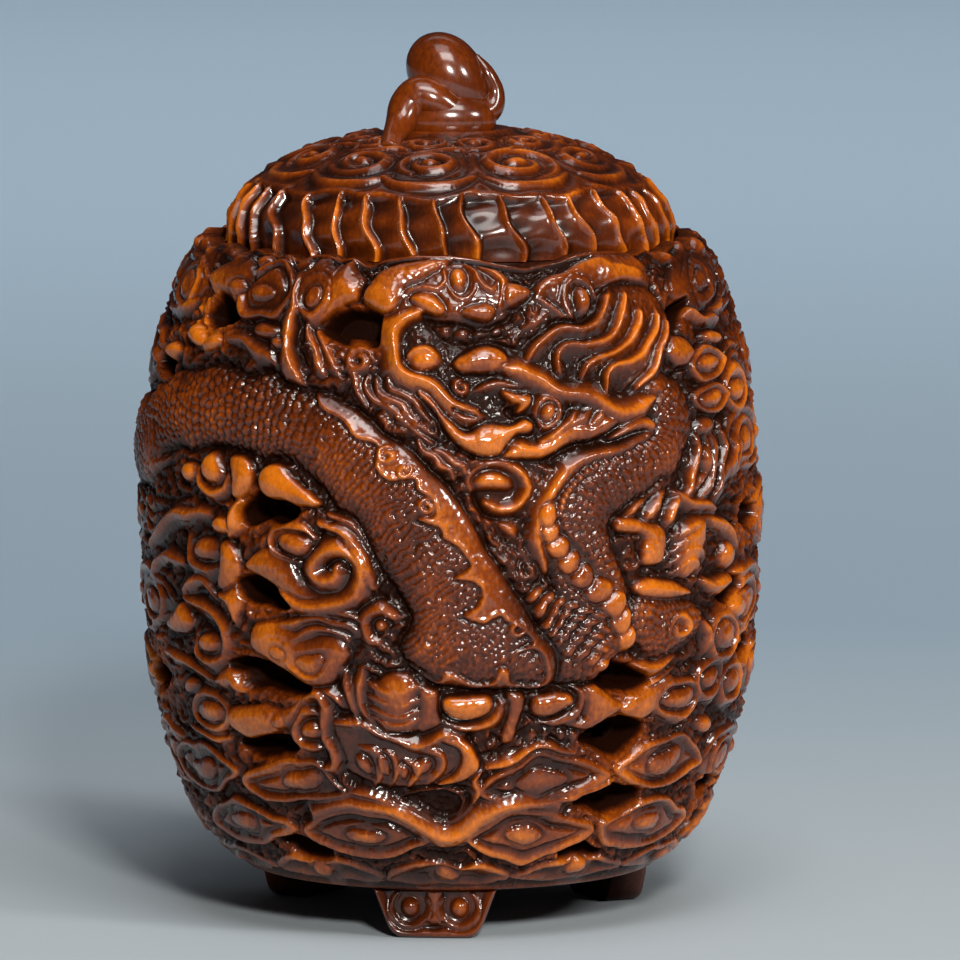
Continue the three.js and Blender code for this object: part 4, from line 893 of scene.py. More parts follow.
def head(wall):
    """The dragon's head: outlined pads for nose, chin and jaw, crests for lip and mane, ridged beard."""
    # broad form of the face
    wall.pad([(-5.6, 53.4), (-4.6, 54.9), (-3.2, 55.6), (-1.6, 54.6), (-0.4, 53.5), (1.6, 53.3),
              (4, 53.4), (6.4, 52.6), (8.4, 51), (11, 49.7), (14, 48.8), (17, 47.8), (20, 48.3),
              (20.2, 47.2), (17.6, 46.2), (15, 45.4), (12, 44.4), (9, 43.5), (6, 43), (3.6, 43.2),
              (1.6, 44), (-0.2, 45.4), (-1.6, 47.2), (-3.2, 48.6), (-4.6, 50.2), (-5.6, 51.6)],
             -1.0, 0.5, 1.2, 0.6, 0.3, 0.15)
    # nose, nostril and the curl of the lip round it
    wall.pad([(0.3, 51.6), (0.8, 52.4), (2.4, 52.8), (4.2, 52.7), (5.4, 52.1), (5.5, 51.2), (4.6, 50.5),
              (3.4, 50.4), (2, 50.8), (0.9, 51)], 0.25, 0.8, 1.2, 0.5, 0.22)
    wall.boss(-2.4, 51.8, 2.9, 2.3, 0.05, -15, 0.4)
    wall.crest([(-3.8, 52.1), (-3, 52.6), (-2.1, 52.7), (-1.3, 52.1)], 0.25, 0.7, 0.2)
    wall.crest([(-3, 55.6), (-4.2, 55.1), (-5, 54.2), (-5.3, 53), (-5.1, 51.8), (-4.4, 50.9), (-3, 50.3),
                (-1.9, 49.7), (-0.7, 48.9), (0.5, 48.1), (1.5, 47.7), (2.4, 47.4)],
               0.4, 1.15, 0.3, 0.8, 0.1)
    wall.scroll(1.3, 49.6, 0.7, 1.2, 90, 1, 0.4, -0.15, 1, 0, 0.2)
    wall.crest([(2.4, 49.2), (3.8, 49.3), (5, 49.6), (6.6, 49.5)], 0.4, 0.5, -0.25)
    # mouth, with a tooth
    wall.pad([(0.2, 47.8), (1.2, 47.5), (2.4, 47.1), (2.7, 46.6), (1.4, 46.6), (0.6, 47)],
             -1.2, -0.3, 0.4, 0, 0.3, 0.1)
    wall.pad([(5, 47.7), (5.9, 48), (6.7, 47.4), (6.4, 46.9), (5.4, 46.8)], -1.4, -0.3, 0.4, 0, 0.3, 0.1)
    wall.crest([(0.2, 47.6), (1, 47.1), (1.8, 46.9), (2.8, 46.8)], 0.3, 0.4, -0.1, 0.5)
    wall.pad([(5, 49), (6.3, 48.9), (7.3, 48.7), (7.1, 48), (6.2, 47.5), (6.4, 48.2), (5.6, 48.4)],
             0.15, 0.4, 0.5)
    # chin
    wall.pad([(-3, 49.3), (-1.6, 48.4), (-0.7, 47.3), (0.3, 46.6), (1.6, 46), (3, 46.4), (4.2, 46.4),
              (5.4, 46), (6.6, 46.7), (7.5, 46.4), (7.3, 45.7), (6.5, 45.2), (5.5, 44.9), (5, 44.3),
              (4.7, 43.6), (3.6, 43.4), (2, 44), (0.5, 45.1), (-0.5, 46.3), (-1.5, 47.6), (-2.8, 48.6)],
             0.25, 0.75, 1.0, 0.6, 0.22)
    # jaw that runs back, with folds of the cheek over it
    wall.pad([(4.9, 43.3), (7, 43.3), (9.4, 43.9), (11.6, 44.6), (13.6, 45.4), (15.4, 46.3), (16.4, 46.9),
              (14.8, 47.2), (12.6, 46.8), (10.6, 46.2), (8.8, 45.2), (7.4, 44.6), (5.6, 44.2)],
             0.1, 0.6, 1.0, 0.55, 0.25)
    for line in ([(8.2, 45), (9.6, 45.6), (10.8, 46.2), (11.6, 47.1)],
                 [(10.3, 45.7), (11.6, 46.4), (12.9, 47.4)], [(12.6, 46.3), (13.6, 46.9), (14.5, 47.5)]):
        wall.crest(line, 0.3, 0.8, 0.2)
    wall.crest([(5.4, 44.1), (6.4, 43.9), (7.4, 44), (8.4, 44.4)], 0.4, 0.3, 0.1, 0.4)
    # eye
    wall.scroll(8.9, 47.4, 1.2, 0.95, 200, -1, 0.5, 0.05, 0.95, 0, 0.95)
    wall.boss(8.9, 47.4, 1.4, 1.4, 0.2, 0, 0.5)
    # ear
    wall.pad([(14.8, 45.1), (16.6, 45.4), (18.6, 45.5), (19.8, 45.4), (20.2, 46), (19.4, 46.5),
              (17.6, 46.4), (15.8, 46)], 0.1, 0.5, 0.7)
    # mane: sharp wavy crests with broad hollows between
    wall.pad([(6.4, 51.9), (8, 53.8), (10.6, 54.9), (13.6, 55.2), (15.4, 56.6), (17, 58), (20, 58.4),
              (23, 57.4), (24.4, 55.4), (23.6, 53), (22.4, 51.4), (20.4, 50.2), (18.4, 48.8),
              (15.6, 48.8), (12.6, 49.6), (9.4, 50.4), (7.4, 51.1)], -0.85, 0.4, 1.0, 0.3, 0.18, 0.3)
    for strand in (
        [(8.6, 51), (9.4, 52.4), (10.6, 53.2), (12.2, 53.6), (14, 53.8), (15.6, 54.2), (16.6, 55),
         (17.2, 56.2)],
        [(11, 50.4), (11.8, 51.4), (13, 52), (14.6, 52.4), (16.4, 52.9), (17.8, 53.6), (18.7, 54.6),
         (19.2, 56)],
        [(13.6, 49.6), (14.2, 50.7), (15.4, 51.4), (17, 51.8), (18.8, 52.4), (20, 53.4), (20.8, 54.8)],
        [(17, 48.9), (17.8, 49.8), (19, 50.5), (20.6, 51.6), (22, 52.8), (22.9, 54)],
    ):
        wall.crest(strand, 0.25, 0.5, -0.5, 0.5, 0.2, 0.6)
    for strand in (
        [(7.4, 51.8), (8.3, 53), (9.5, 53.8), (11, 54.2), (13.4, 54.4), (15, 54.9), (15.9, 55.7),
         (16.6, 57)],
        [(10.2, 50.8), (10.6, 52), (12, 52.8), (14, 53.1), (16, 53.6), (17.3, 54.4), (18.1, 56),
         (18.6, 57)],
        [(12.4, 50), (13.3, 51.1), (14.8, 51.9), (16.5, 52.4), (18.1, 53), (19.2, 54), (20, 55.6)],
        [(15.1, 48.9), (15.5, 50.2), (16.4, 51), (18, 51.4), (19.6, 52), (20.8, 52.9), (21.6, 53.9),
         (22.2, 55.2)],
        [(18.4, 49.2), (19.8, 50.4), (21.2, 51.5), (22.4, 52.8), (23.4, 54.4)],
    ):
        wall.crest(strand, 0.4, 1.5, -0.1, 0.8, 0.2, 0.5)
        wall.crest(strand, 0.25, 0.4, 0.2, 0.5, 0.2)
    # brow
    wall.ridge([(5.2, 50.9), (6.4, 50.8), (7.4, 50.4), (8.6, 49.9), (9.6, 49.2), (10.8, 48.8),
                (12.4, 48.6), (14, 48.1), (15.4, 47.5), (16.6, 47.1), (17.8, 47.1), (19, 47.5),
                (20.4, 48)], 1.2, 0.25, 0.5, 0.1)
    # beard and curls in front of the snout
    for line in (
        [(-9.3, 52), (-9.6, 51), (-8.9, 50.1), (-8.7, 49), (-8, 47.9)],
        [(-7.7, 50.2), (-7.9, 49.3), (-7.2, 48.4), (-6, 47.9), (-5, 47.3), (-4, 46.4), (-3, 45.6),
         (-1.5, 44.8)],
        [(-6.8, 50), (-6.7, 49), (-6, 48.4), (-4.8, 48.1), (-4.2, 47.3), (-3.1, 46.3), (-1.4, 45.6)],
        [(-5.8, 50.2), (-5.4, 49.2), (-4.4, 48.9), (-3.4, 48.3), (-2.8, 47.4), (-1.8, 46.7)],
        [(-2.9, 44.9), (-2.4, 44), (-1.3, 43.7), (-0.9, 42.9), (0, 42.5), (0.3, 41.6)],
        [(-1.4, 44.3), (-0.4, 43.9), (0.4, 43.2), (1.2, 42.9), (1.4, 42)],
    ):
        wall.ridge(line, 0.75, -0.35, 0.3)
    wall.scroll(-8.6, 51.5, 1.25, 1.2, 40, 1, 0.6, -0.4, 0.9, 0, 0.3)
    # hook scroll between the jaw and the limb
    wall.pad([(1.6, 41.4), (2.6, 42.6), (4.8, 43), (6.8, 42.2), (7.2, 40.6), (6, 39), (4, 38),
              (2.4, 38.8)], -1.3, 0.6, 0.8, 0.4)
    wall.boss(3.6, 41.2, 3.2, 1.7, -0.3)
    wall.ridge([(1.7, 40.6), (1.6, 41.8), (2.8, 42.7), (4.8, 42.8), (6.3, 42), (6.7, 40.6), (5.8, 39.4),
                (4.4, 38.9), (3, 39.3)], 0.8, -0.4)
    wall.ridge([(4.4, 37.6), (5.4, 37.2), (6.2, 36.4)], 1.0, -0.6)
    wall.ridge([(6.6, 36.2), (6.8, 34.8), (7.4, 33.6), (8, 32.6)], 0.9, -0.7)
    wall.scroll(6.9, 33.6, 0.9, 1.2, 90, 1, 0.5, -0.6, 1, 0, 0.2)
    wall.ridge([(2.6, 38), (3.6, 36.6), (4.8, 35.2), (5.8, 33.8)], 0.5, -0.9)


def carved_wall():
    """The barrel's map with everything cut in it, from the ground up to the dragon's head."""
    wall = Wall()
    for cut in (ground, back_clouds, lower_clouds, loop_clouds, left_clouds, right_clouds, rim_clouds):
        cut(wall)
    wall.level(mean=-0.6, share=0.5, reach=2.2)
    wall.echoes(reach=0.8, apart=0.2, depth=0.22, below=-0.45)
    rim_lobes(wall)
    for cut in (holes, dragon, head):
        cut(wall)
    # stippled by the tool, more where it isn't polished
    wall.height += (0.02 + 0.08 * np.clip(1 - 2.2 * wall.polish, 0, 1)) * grain(0.32, 9)
    return wall


# Meshes

# Strips across the texture, each for one kind of face: left and right limits
OUTSIDE_STRIP = (0.005, 0.74)
END_STRIP = (0.745, 0.75)
INSIDE_STRIP = (0.755, 0.88)
WALL_STRIP = (0.89, 0.985)
RIM_STRIP = (0.987, 0.995)
LID_STRIP = (0.005, 0.8)
LID_INSIDE_STRIP = (0.81, 0.9)
LID_UNDER_STRIP = (0.905, 0.95)
LID_CROWN_STRIP = (0.955, 0.975)
LID_HOLLOW_STRIP = (0.98, 0.995)
KNOB_STRIP = (0.005, 0.9)
KNOB_END_STRIP = (0.91, 0.99)
FOOT_STRIP = (0.005, 0.6)
FOOT_BACK_STRIP = (0.61, 0.85)
FOOT_SIDE_STRIP = (0.87, 0.99)


def face_normals(points, faces):
    """Normals of flat faces of any number of corners: each corner's arm crossed with the next, summed."""
    corner = points[faces]
    rel = corner - corner.mean(1, keepdims=True)
    return np.cross(rel, np.roll(rel, -1, 1)).sum(1)


def unit(v):
    """Arrows made one long."""
    return v / np.maximum(np.linalg.norm(v, axis=-1, keepdims=True), 1e-12)


def round_normals(points):
    """Outward normals of a grid that goes right round: the run across it crossed with the rise."""
    across = np.roll(points, -1, 1) - np.roll(points, 1, 1)
    return unit(np.cross(across, np.gradient(points, axis=0)))


def tiles(count, corners, left, right):
    """A small round tile of the texture for each of some faces, in rows between two limits across."""
    across = 14
    down = int(np.ceil(count / across)) + 1
    k = np.arange(count)
    middle = np.stack([left + (right - left) * (k % across + 0.5) / across, (k // across + 0.5) / down],
                      -1)
    turn = 2 * np.pi * np.arange(corners) / corners
    size = np.array([0.4 * (right - left) / across, 0.4 / down])
    return middle[:, None] + size * np.stack([np.cos(turn), np.sin(turn)], -1)


class Shape:
    """Points in millimetres and faces in whole arrays, with normals and texture places at the corners."""

    def __init__(self):
        self.points, self.faces, self.normals, self.places = [], [], [], []
        self.count = 0
        self.values = {"relief": [], "cavity": [], "polish": []}

    def add_points(self, grid, relief=-1.6, cavity=-0.4, polish=0.0):
        """Adds a grid of points and returns their numbers; unless given, they take the dark tone of a deep
        cut, painted shade on faces out of the light.
        """
        shape = grid.shape[:-1]
        number = self.count + np.arange(int(np.prod(shape))).reshape(shape)
        self.count += number.size
        self.points.append(grid.reshape(-1, 3))
        for name, value in (("relief", relief), ("cavity", cavity), ("polish", polish)):
            self.values[name].append(np.broadcast_to(np.asarray(value, np.float32), shape).reshape(-1))
        return number

    def add_faces(self, faces, places, normals=None):
        """Adds faces as an array of corners, flat if no normals are given."""
        faces = faces.reshape(-1, faces.shape[-1])
        if not len(faces):
            return
        if normals is None:
            flat = unit(face_normals(np.concatenate(self.points), faces))
            normals = flat[:, None].repeat(faces.shape[1], 1)
        self.faces.append(faces)
        self.normals.append(normals.reshape(-1, 3))
        self.places.append(places.reshape(-1, 2))

    def finish(self, name, material, body, node):
        """The shape as an object that stands for a node of the frame."""
        mesh = bpy.data.meshes.new(name)
        points = np.concatenate(self.points).astype(np.float32) * MM
        mesh.vertices.add(len(points))
        mesh.vertices.foreach_set("co", points.ravel())
        corners = np.concatenate([f.ravel() for f in self.faces])
        sizes = np.concatenate([np.full(len(f), f.shape[1]) for f in self.faces])
        mesh.loops.add(len(corners))
        mesh.loops.foreach_set("vertex_index", corners.astype(np.int32))
        mesh.polygons.add(len(sizes))
        mesh.polygons.foreach_set("loop_start", (np.cumsum(sizes) - sizes).astype(np.int32))
        mesh.update(calc_edges=True)
        mesh.shade_smooth()
        layer = mesh.uv_layers.new(name="OFBake")
        layer.data.foreach_set("uv", np.concatenate(self.places).astype(np.float32).ravel())
        for key, parts in self.values.items():
            layer = mesh.attributes.new(key, "FLOAT", "POINT")
            layer.data.foreach_set("value", np.concatenate(parts).astype(np.float32))
        mesh.normals_split_custom_set(np.concatenate(self.normals))
        mesh.materials.append(material)
        piece = bpy.data.objects.new(name, mesh)
        bpy.context.collection.objects.link(piece)
        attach(piece, body)
        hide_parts(node)


def quads(number):
    """Faces of a grid of point numbers."""
    return np.stack([number[:-1, :-1], number[:-1, 1:], number[1:, 1:], number[1:, :-1]], -1)


def joined(grid):
    """A grid that goes right round, with its first column again at its end."""
    return np.concatenate([grid, grid[:, :1]], 1)


def strip(edge, ring):
    """Faces from a fine edge to a coarse ring, each with all the fine points along it."""
    fine = edge[COARSE * np.arange(len(ring) - 1)[:, None] + np.arange(COARSE + 1)]
    return np.concatenate([fine, ring[1:, None], ring[:-1, None]], 1)


def fan(first, second, pole):
    """Triangles on the pairs of points round a ring, all to one pole."""
    return np.stack([first, second, np.full(len(first), pole)], 1)


def square(rows, cols, left, right):
    """Texture places of a grid between two limits across."""
    u, v = np.meshgrid(np.linspace(left, right, cols), np.linspace(0.005, 0.995, rows))
    return np.stack([u, v], -1)


def corners_of(grid):
    """Values of a grid at the corners of its faces."""
    return np.stack([grid[:-1, :-1], grid[:-1, 1:], grid[1:, 1:], grid[1:, :-1]], -2)


def ring_points(radius, z, angle):
    """Points at radii and heights round the axis, angle 0 in front and a quarter turn at the right."""
    return np.stack(np.broadcast_arrays(radius * np.sin(angle), -radius * np.cos(angle), z), -1)


# Barrel

# Least wall behind a cut, reach of the base's plain edge, and depth from which an opening is open
LEAST_WALL = 0.45
BASE_FADE = 1.5
OPEN_DEPTH = 0.4
# Cuts are darkened against the height about them, over a fine and a broad reach: the stain in them, and
# painted shade spread over the broad reach
FINE_REACH = 0.5
BROAD_SHADE_REACH = 1.7
FINE_WEIGHT = 0.6
# Tops of the clouds along the front of the rim: arc and how far each lies below the rim's highest point
RIM_DIPS = ((-23.8, 0.9), (-22.4, 0.2), (-20.9, 0.7), (-19.4, 0.2), (-18, 0.9), (-16.4, 0.3), (-14, 0.1),
            (-12.6, 0.6), (-11, 0.2), (-9.2, 1.1), (-7.4, 0.4), (-4, 0.0), (0, 0.0), (3, 0.3), (5.4, 0.8),
            (8.6, 1.2), (10.4, 0.9), (12.6, 0.7), (14.4, 0.2), (17, 0.0), (20.5, 0.1), (23, 0.5),
            (24.4, 0.9))


def rim_dip():
    """How far the rim is cut down at each column: from the list in front, in uneven waves elsewhere."""
    waves = 0.45 - 0.4 * np.cos(COL_S + 0.9 * np.sin(0.31 * COL_S))
    listed = np.interp(COL_S, *np.array(RIM_DIPS).T)
    share = np.clip((np.abs(COL_S - 0.3) - 22.5) / 2, 0, 1)
    return blur((waves * share + listed * (1 - share))[None], 3)[0]


def finished_wall(wall):
    """The map's height, softened, fading out at the base, and kept off the lid's seat and the chamber."""
    r = envelope(ROW_Z)
    out = np.gradient(ROW_Z)
    slope = np.gradient(r)
    size = np.hypot(out, slope)
    normal = np.stack([out / size, -slope / size])
    height = blur(wall.height, 0.6)
    deepest = (r - chamber_radius(ROW_Z)) * np.maximum(normal[0], 0.2) - LEAST_WALL
    shallow = 1.0 + 3 * np.clip((RIM_Z - 0.7 - ROW_Z) / 1.5, 0, 1)
    height = np.maximum(height, -np.minimum(deepest, shallow)[:, None])
    arc = np.linspace(0, PROFILE, ROWS + 1)
    height *= np.clip(arc / BASE_FADE, 0, 1)[:, None]
    return height, normal


def open_cells(wall, low, high):
    """The coarse cells of the wall that lie in an opening, between two coarse rows."""
    deep = joined(wall.bore[::COARSE, ::COARSE])
    least = np.minimum(np.minimum(deep[:-1, :-1], deep[1:, :-1]), np.minimum(deep[:-1, 1:], deep[1:, 1:]))
    opened = least > OPEN_DEPTH
    opened[:low + 1] = False
    opened[high - 1:] = False
    return opened


def barrel(material):
    """The barrel in upright sectors, each a closed shell: carved outside, chamber's wall and edges."""
    wall = carved_wall()
    height, normal = finished_wall(wall)
    # cavity: lower in cuts and hollows, for their stain and painted shade
    cavity = (1 + FINE_WEIGHT) * height - FINE_WEIGHT * blur(height, FINE_REACH / STEP)
    cavity = cavity - blur(height, BROAD_SHADE_REACH / STEP)
    # painted shadow of the lid: deep places just under the rim are made darker still
    cavity = cavity - 0.6 * np.clip((ROW_Z[:, None] - RIM_Z + 0.7) / 0.5, 0, 1) * (height < -0.5)
    r = envelope(ROW_Z)[:, None] + normal[0][:, None] * height
    z = ROW_Z[:, None] + normal[1][:, None] * height
    z = z - rim_dip() * np.clip((ROW_Z[:, None] - RIM_Z + 3) / 3, 0, 1) ** 2
    outside = ring_points(r, z, COL_S / BODY_R)
    outward = round_normals(outside)
    coarse_z = ROW_Z[::COARSE]
    rows = np.nonzero((coarse_z > CHAMBER_LOW + 0.3) & (coarse_z < CHAMBER_TOP - 0.3))[0]
    low, high = rows[0], rows[-1]
    opened = open_cells(wall, low, high)
    for k in range(SECTORS):
        sector(k, outside, outward, height, cavity, wall.polish, opened, low, high, material)


def inner_profile(low, high):
    """Radius and height down the inside: rim, seat, mouth, chamber, ledge and the floor's rebate."""
    z = ROW_Z[::COARSE][low:high + 1][::-1]
    top = [(RIM_INNER, RIM_Z), (RIM_INNER, SEAT_Z), (MOUTH_R, SEAT_Z), (MOUTH_R, CHAMBER_TOP)]
    top.append((float(chamber_radius(CHAMBER_TOP)), CHAMBER_TOP))
    bottom = [(float(chamber_radius(CHAMBER_LOW)), CHAMBER_LOW), (FLOOR_HOLE, CHAMBER_LOW),
              (FLOOR_HOLE, REBATE_Z)]
    bottom += [(REBATE_R, REBATE_Z), (REBATE_R, LOW_Z)]
    return np.array(top + list(zip(chamber_radius(z), z)) + bottom), len(top)


def sector(k, outside, outward, height, cavity, polish, opened, low, high, material):
    """One upright sector of the barrel: two grids, outside and inside, with faces between their edges."""
    cols = (k * SECTOR_COLS + np.arange(SECTOR_COLS + 1)) % COLS
    wide = SECTOR_COLS // COARSE
    shape = Shape()
    outer = shape.add_points(outside[:, cols], height[:, cols], cavity[:, cols], polish[:, cols])
    profile, first = inner_profile(low, high)
    angle = (COL_S[0] + STEP * (k * SECTOR_COLS + COARSE * np.arange(wide + 1))) / BODY_R
    inside = ring_points(profile[:, :1], profile[:, 1:], angle)
    inside[0, :, 2] = outside[-1, cols[::COARSE], 2]
    # the chamber's wall takes the dark tone of a deep cut as painted shade inside the barrel; the rim and
    # seat above it are less dark
    inner = shape.add_points(inside, -1.6, np.where(profile[:, 1:] > CHAMBER_TOP - 0.1, 0.1, -0.4))

    # carved outside, without the cells in openings
    shut = ~opened[:, k * wide:(k + 1) * wide]
    keep = shut.repeat(COARSE, 0).repeat(COARSE, 1)
    spots = corners_of(square(ROWS + 1, SECTOR_COLS + 1, *OUTSIDE_STRIP))
    shape.add_faces(quads(outer)[keep], spots[keep], corners_of(outward[:, cols])[keep])

    # inside
    kept = np.ones((len(profile) - 1, wide), bool)
    kept[first:first + high - low] = shut[low:high][::-1]
    spots = corners_of(square(len(profile), wide + 1, *INSIDE_STRIP))
    shape.add_faces(quads(inner)[kept], spots[kept])

    # walls between the two, at the sector's sides and round the openings
    chamber = inner[first:first + high - low + 1][::-1]
    solid = np.pad(shut[low:high], 1)
    solid[0, 1:-1] = solid[-1, 1:-1] = True
    middle = solid[1:-1, 1:-1]
    walls = []
    steps = np.arange(COARSE + 1)
    for side, (dr, dc) in enumerate(((0, -1), (0, 1), (-1, 0), (1, 0))):
        beside = solid[1 + dr:solid.shape[0] - 1 + dr, 1 + dc:solid.shape[1] - 1 + dc]
        i, j = np.nonzero(middle & ~beside)
        base_row, base_col = COARSE * (i + low)[:, None], COARSE * j[:, None]
        if dc:
            edge = outer[base_row + steps, base_col + COARSE * (dc > 0)]
            back = np.stack([chamber[i + 1, j + (dc > 0)], chamber[i, j + (dc > 0)]], 1)
        else:
            edge = outer[base_row + COARSE * (dr > 0), base_col + steps]
            back = np.stack([chamber[i + (dr > 0), j + 1], chamber[i + (dr > 0), j]], 1)
        face = np.concatenate([edge, back], 1)
        walls.append(face[:, ::-1] if side in (1, 2) else face)
    over = strip(outer[-1], inner[0])
    walls = np.concatenate(walls + [strip(outer[0], inner[-1])[:, ::-1]])
    shape.add_faces(walls, tiles(len(walls), COARSE + 3, *WALL_STRIP))
    upward = np.broadcast_to(np.array([0.0, 0.0, 1.0]), over.shape + (3,))
    shape.add_faces(over, tiles(len(over), COARSE + 3, *RIM_STRIP), upward)
    for j, turn in ((0, 1), (-1, -1)):
        upper = np.concatenate([outer[COARSE * high:, j], inner[:first + 1, j]])
        lower = np.concatenate([outer[:COARSE * low + 1, j], inner[first + high - low:, j]])
        for face in (upper, lower):
            shape.add_faces(face[None, ::turn], tiles(1, len(face), *END_STRIP))
    shape.finish(f"barrel_{k + 1}", material, "cage", "cage_body")


# Lid

LID_Z = 59.5
LID_R = 19.9
LID_SKIRT = 1.4
LID_DOME = 9.0
CROWN_R = 5.3
LID_COLS = 960
LID_ROWS = 96
FLUTES = 36
FLUTE_TOP = 6.3
COLLAR_REBATE_R = 16.4
COLLAR_REBATE_Z = 61.1
HOLLOW_R = 14.1
HOLLOW_Z = 65.58


def lid_profile():
    """Radius and height up the lid's outside, evenly spaced: a short skirt, then a flat dome."""
    turn = np.linspace(0, np.arccos(CROWN_R / LID_R), 800)
    r = np.concatenate([[LID_R], LID_R * np.cos(turn)])
    z = np.concatenate([[0], LID_SKIRT + LID_DOME * np.sin(turn)])
    arc = run_along(r, z)
    even = np.linspace(0, arc[-1], LID_ROWS + 1)
    return np.interp(even, arc, r), np.interp(even, arc, z), even


# Scroll clouds round the dome, each at an angle in degrees, and the radii of the lower and the upper ones
LOW_CLOUDS = (-37, -8, 27, 64, 103, 143, 183, 223, 258, 290)
LOW_CLOUD_R = 12.9
HIGH_CLOUD_R = 8.4
HIGH_CLOUD_TURN = 18
# Borders that run from cloud to cloud, the first along the ledge: width, top and line
LID_BORDERS = ((1.0, 0.1, [(-4, -14.6), (-2.4, -15.9), (0, -16.3), (2.4, -15.8), (4.2, -14.4)]),
               (0.8, 0.05, [(-3.4, -10.2), (-1.8, -10.9), (0.2, -10.4), (1.8, -9.6), (3, -10)]))


def lid_carving(r, up, angle):
    """Wavy slats round the skirt, and scroll clouds on the dome over them.

    Across a slat the height is a power of the share, with a short drop at its end and a bell curve for its
    crest, and sums of sines sway it. The dome has waves in the distance from the nearest cloud.
    """
    across, rise = np.meshgrid(angle, up)
    field = Field(np.stack([r[:, None] * np.sin(angle), -r[:, None] * np.cos(angle)], -1), 0.15, -0.3)
    sway = ease(np.clip(rise / 6, 0, 1)) + 0.12 * np.sin(rise * 1.5 + 3 * np.sin(4 * across))
    uneven = 0.13 * np.sin(5 * across + 1) + 0.1 * np.sin(11 * across) + 0.06 * np.sin(23 * across)
    phase = FLUTES * (across + 0.08 * sway) / (2 * np.pi) + uneven
    share = phase - np.floor(phase)
    ramp_up = np.where(share < 0.1, 1 - share / 0.1, share ** 1.6)
    edge = np.minimum(share, 1 - share)
    flute = -0.95 + 0.6 * ramp_up + 0.38 * np.exp(-(edge / 0.075) ** 2)
    flute += 0.05 * np.sin(7 * across + 2.5 * rise) + 0.04 * np.sin(31 * across - 1.7 * rise)
    ledge = FLUTE_TOP + 0.3 * np.sin(9 * across) + 0.2 * np.sin(17 * across)
    over = ease(np.clip((rise - ledge) / 0.5 + 0.5, 0, 1))
    near = np.full(across.shape, 99.0)
    for degrees in LOW_CLOUDS:
        x, y = spin(0, -LOW_CLOUD_R, degrees)
        rel = field.places - np.array([x, y])
        near = np.minimum(near, np.hypot(*rel.transpose(2, 0, 1)))
    dome = -0.35 + 0.07 * np.cos(2 * np.pi * near / 1.35)
    dome = dome + 0.2 * np.exp(-((rise - ledge - 0.3) / 0.4) ** 2)
    field.height[:] = flute * (1 - over) + dome * over
    field.polish[:] = 1 - 0.6 * over
    field.deepest = -0.9
    for k, degrees in enumerate(LOW_CLOUDS):
        large = (0.95, 0.85, 1.25)[k % 3]
        way = 1 - 2 * (k % 2)
        x, y = spin(0, -LOW_CLOUD_R, degrees)
        field.scroll(x, y, 3.2 * large, turns=1.3, start=200 + 40 * (k % 4), way=way, width=1.4, top=0.1,
                     squash=0.7, turn=degrees, inner=0.36)
        field.boss(x, y, 1.9 * large, 1.2 * large, top=0.15, turn=degrees)
        turned = degrees + HIGH_CLOUD_TURN
        x, y = spin(0.6, -HIGH_CLOUD_R, turned)
        field.scroll(x, y, 2.1, turns=1.4, start=160, way=-way, width=0.95, top=0.05, squash=0.8,
                     turn=turned, inner=0.4)
        field.boss(x, y, 1.3, 1, top=0.12, turn=turned)
        for width, top, line in LID_BORDERS:
            x, y = spin(*np.array(line).T, degrees)
            field.ridge(np.stack([x, y], 1), width, top)
    return field


def lid(material):
    """The lid as a closed shell: the carved outside, the hollow with the collar's rebate, and edges."""
    r, z, up = lid_profile()
    angle = 2 * np.pi * np.arange(LID_COLS) / LID_COLS - np.pi
    field = lid_carving(r, up, angle)
    height = blur(field.height, 0.6)
    height *= np.clip((up[-1] - up) / 1.0, 0, 1)[:, None]
    slats = np.clip((FLUTE_TOP - up) / 0.8, 0, 1)[:, None]
    # darker in the lid's hollows, for a stain there and painted shade; the slats a little lighter
    cavity = 1.7 * (height - blur(height, 5)) - 0.08 + 0.17 * slats
    size = np.hypot(np.gradient(z), np.gradient(r))
    out, rise = np.gradient(z) / size, -np.gradient(r) / size
    out[0], rise[0] = 1, 0
    high = LID_Z + z[:, None] + rise[:, None] * height
    points = ring_points(r[:, None] + out[:, None] * height, high, angle)
    outward = round_normals(points)
    shape = Shape()
    outer = shape.add_points(points, height, cavity, field.polish)
    turn = np.linspace(0, 0.5 * np.pi, 9)[:-1]
    arch = COLLAR_REBATE_Z + (HOLLOW_Z - COLLAR_REBATE_Z) * np.sin(turn)
    hollow = np.stack([HOLLOW_R * np.cos(turn), arch], 1)
    profile = np.concatenate([[(COLLAR_REBATE_R, LID_Z), (COLLAR_REBATE_R, COLLAR_REBATE_Z)], hollow])
    inside = ring_points(profile[:, :1], profile[:, 1:], angle[::COARSE])
    inner = shape.add_points(inside)
    crown = shape.add_points(np.array([[0, 0, LID_Z + z[-1]], [0, 0, HOLLOW_Z]]))
    outer, inner = joined(outer), joined(inner)
    spots = corners_of(square(LID_ROWS + 1, LID_COLS + 1, *LID_STRIP))
    shape.add_faces(quads(outer), spots, corners_of(joined(outward)))
    spots = corners_of(square(len(profile), LID_COLS // COARSE + 1, *LID_INSIDE_STRIP))
    shape.add_faces(quads(inner)[..., ::-1], spots)
    under = strip(outer[0], inner[0])[:, ::-1]
    shape.add_faces(under, tiles(len(under), COARSE + 3, *LID_UNDER_STRIP))
    top = fan(outer[-1, :-1], outer[-1, 1:], crown[0])
    shape.add_faces(top, tiles(len(top), 3, *LID_CROWN_STRIP))
    end = fan(inner[-1, 1:], inner[-1, :-1], crown[1])
    shape.add_faces(end, tiles(len(end), 3, *LID_HOLLOW_STRIP))
    shape.finish("lid_dome", material, "lid", "lid")


# Knob

KNOB_SIDES = 48
KNOB_HEIGHT = -0.4


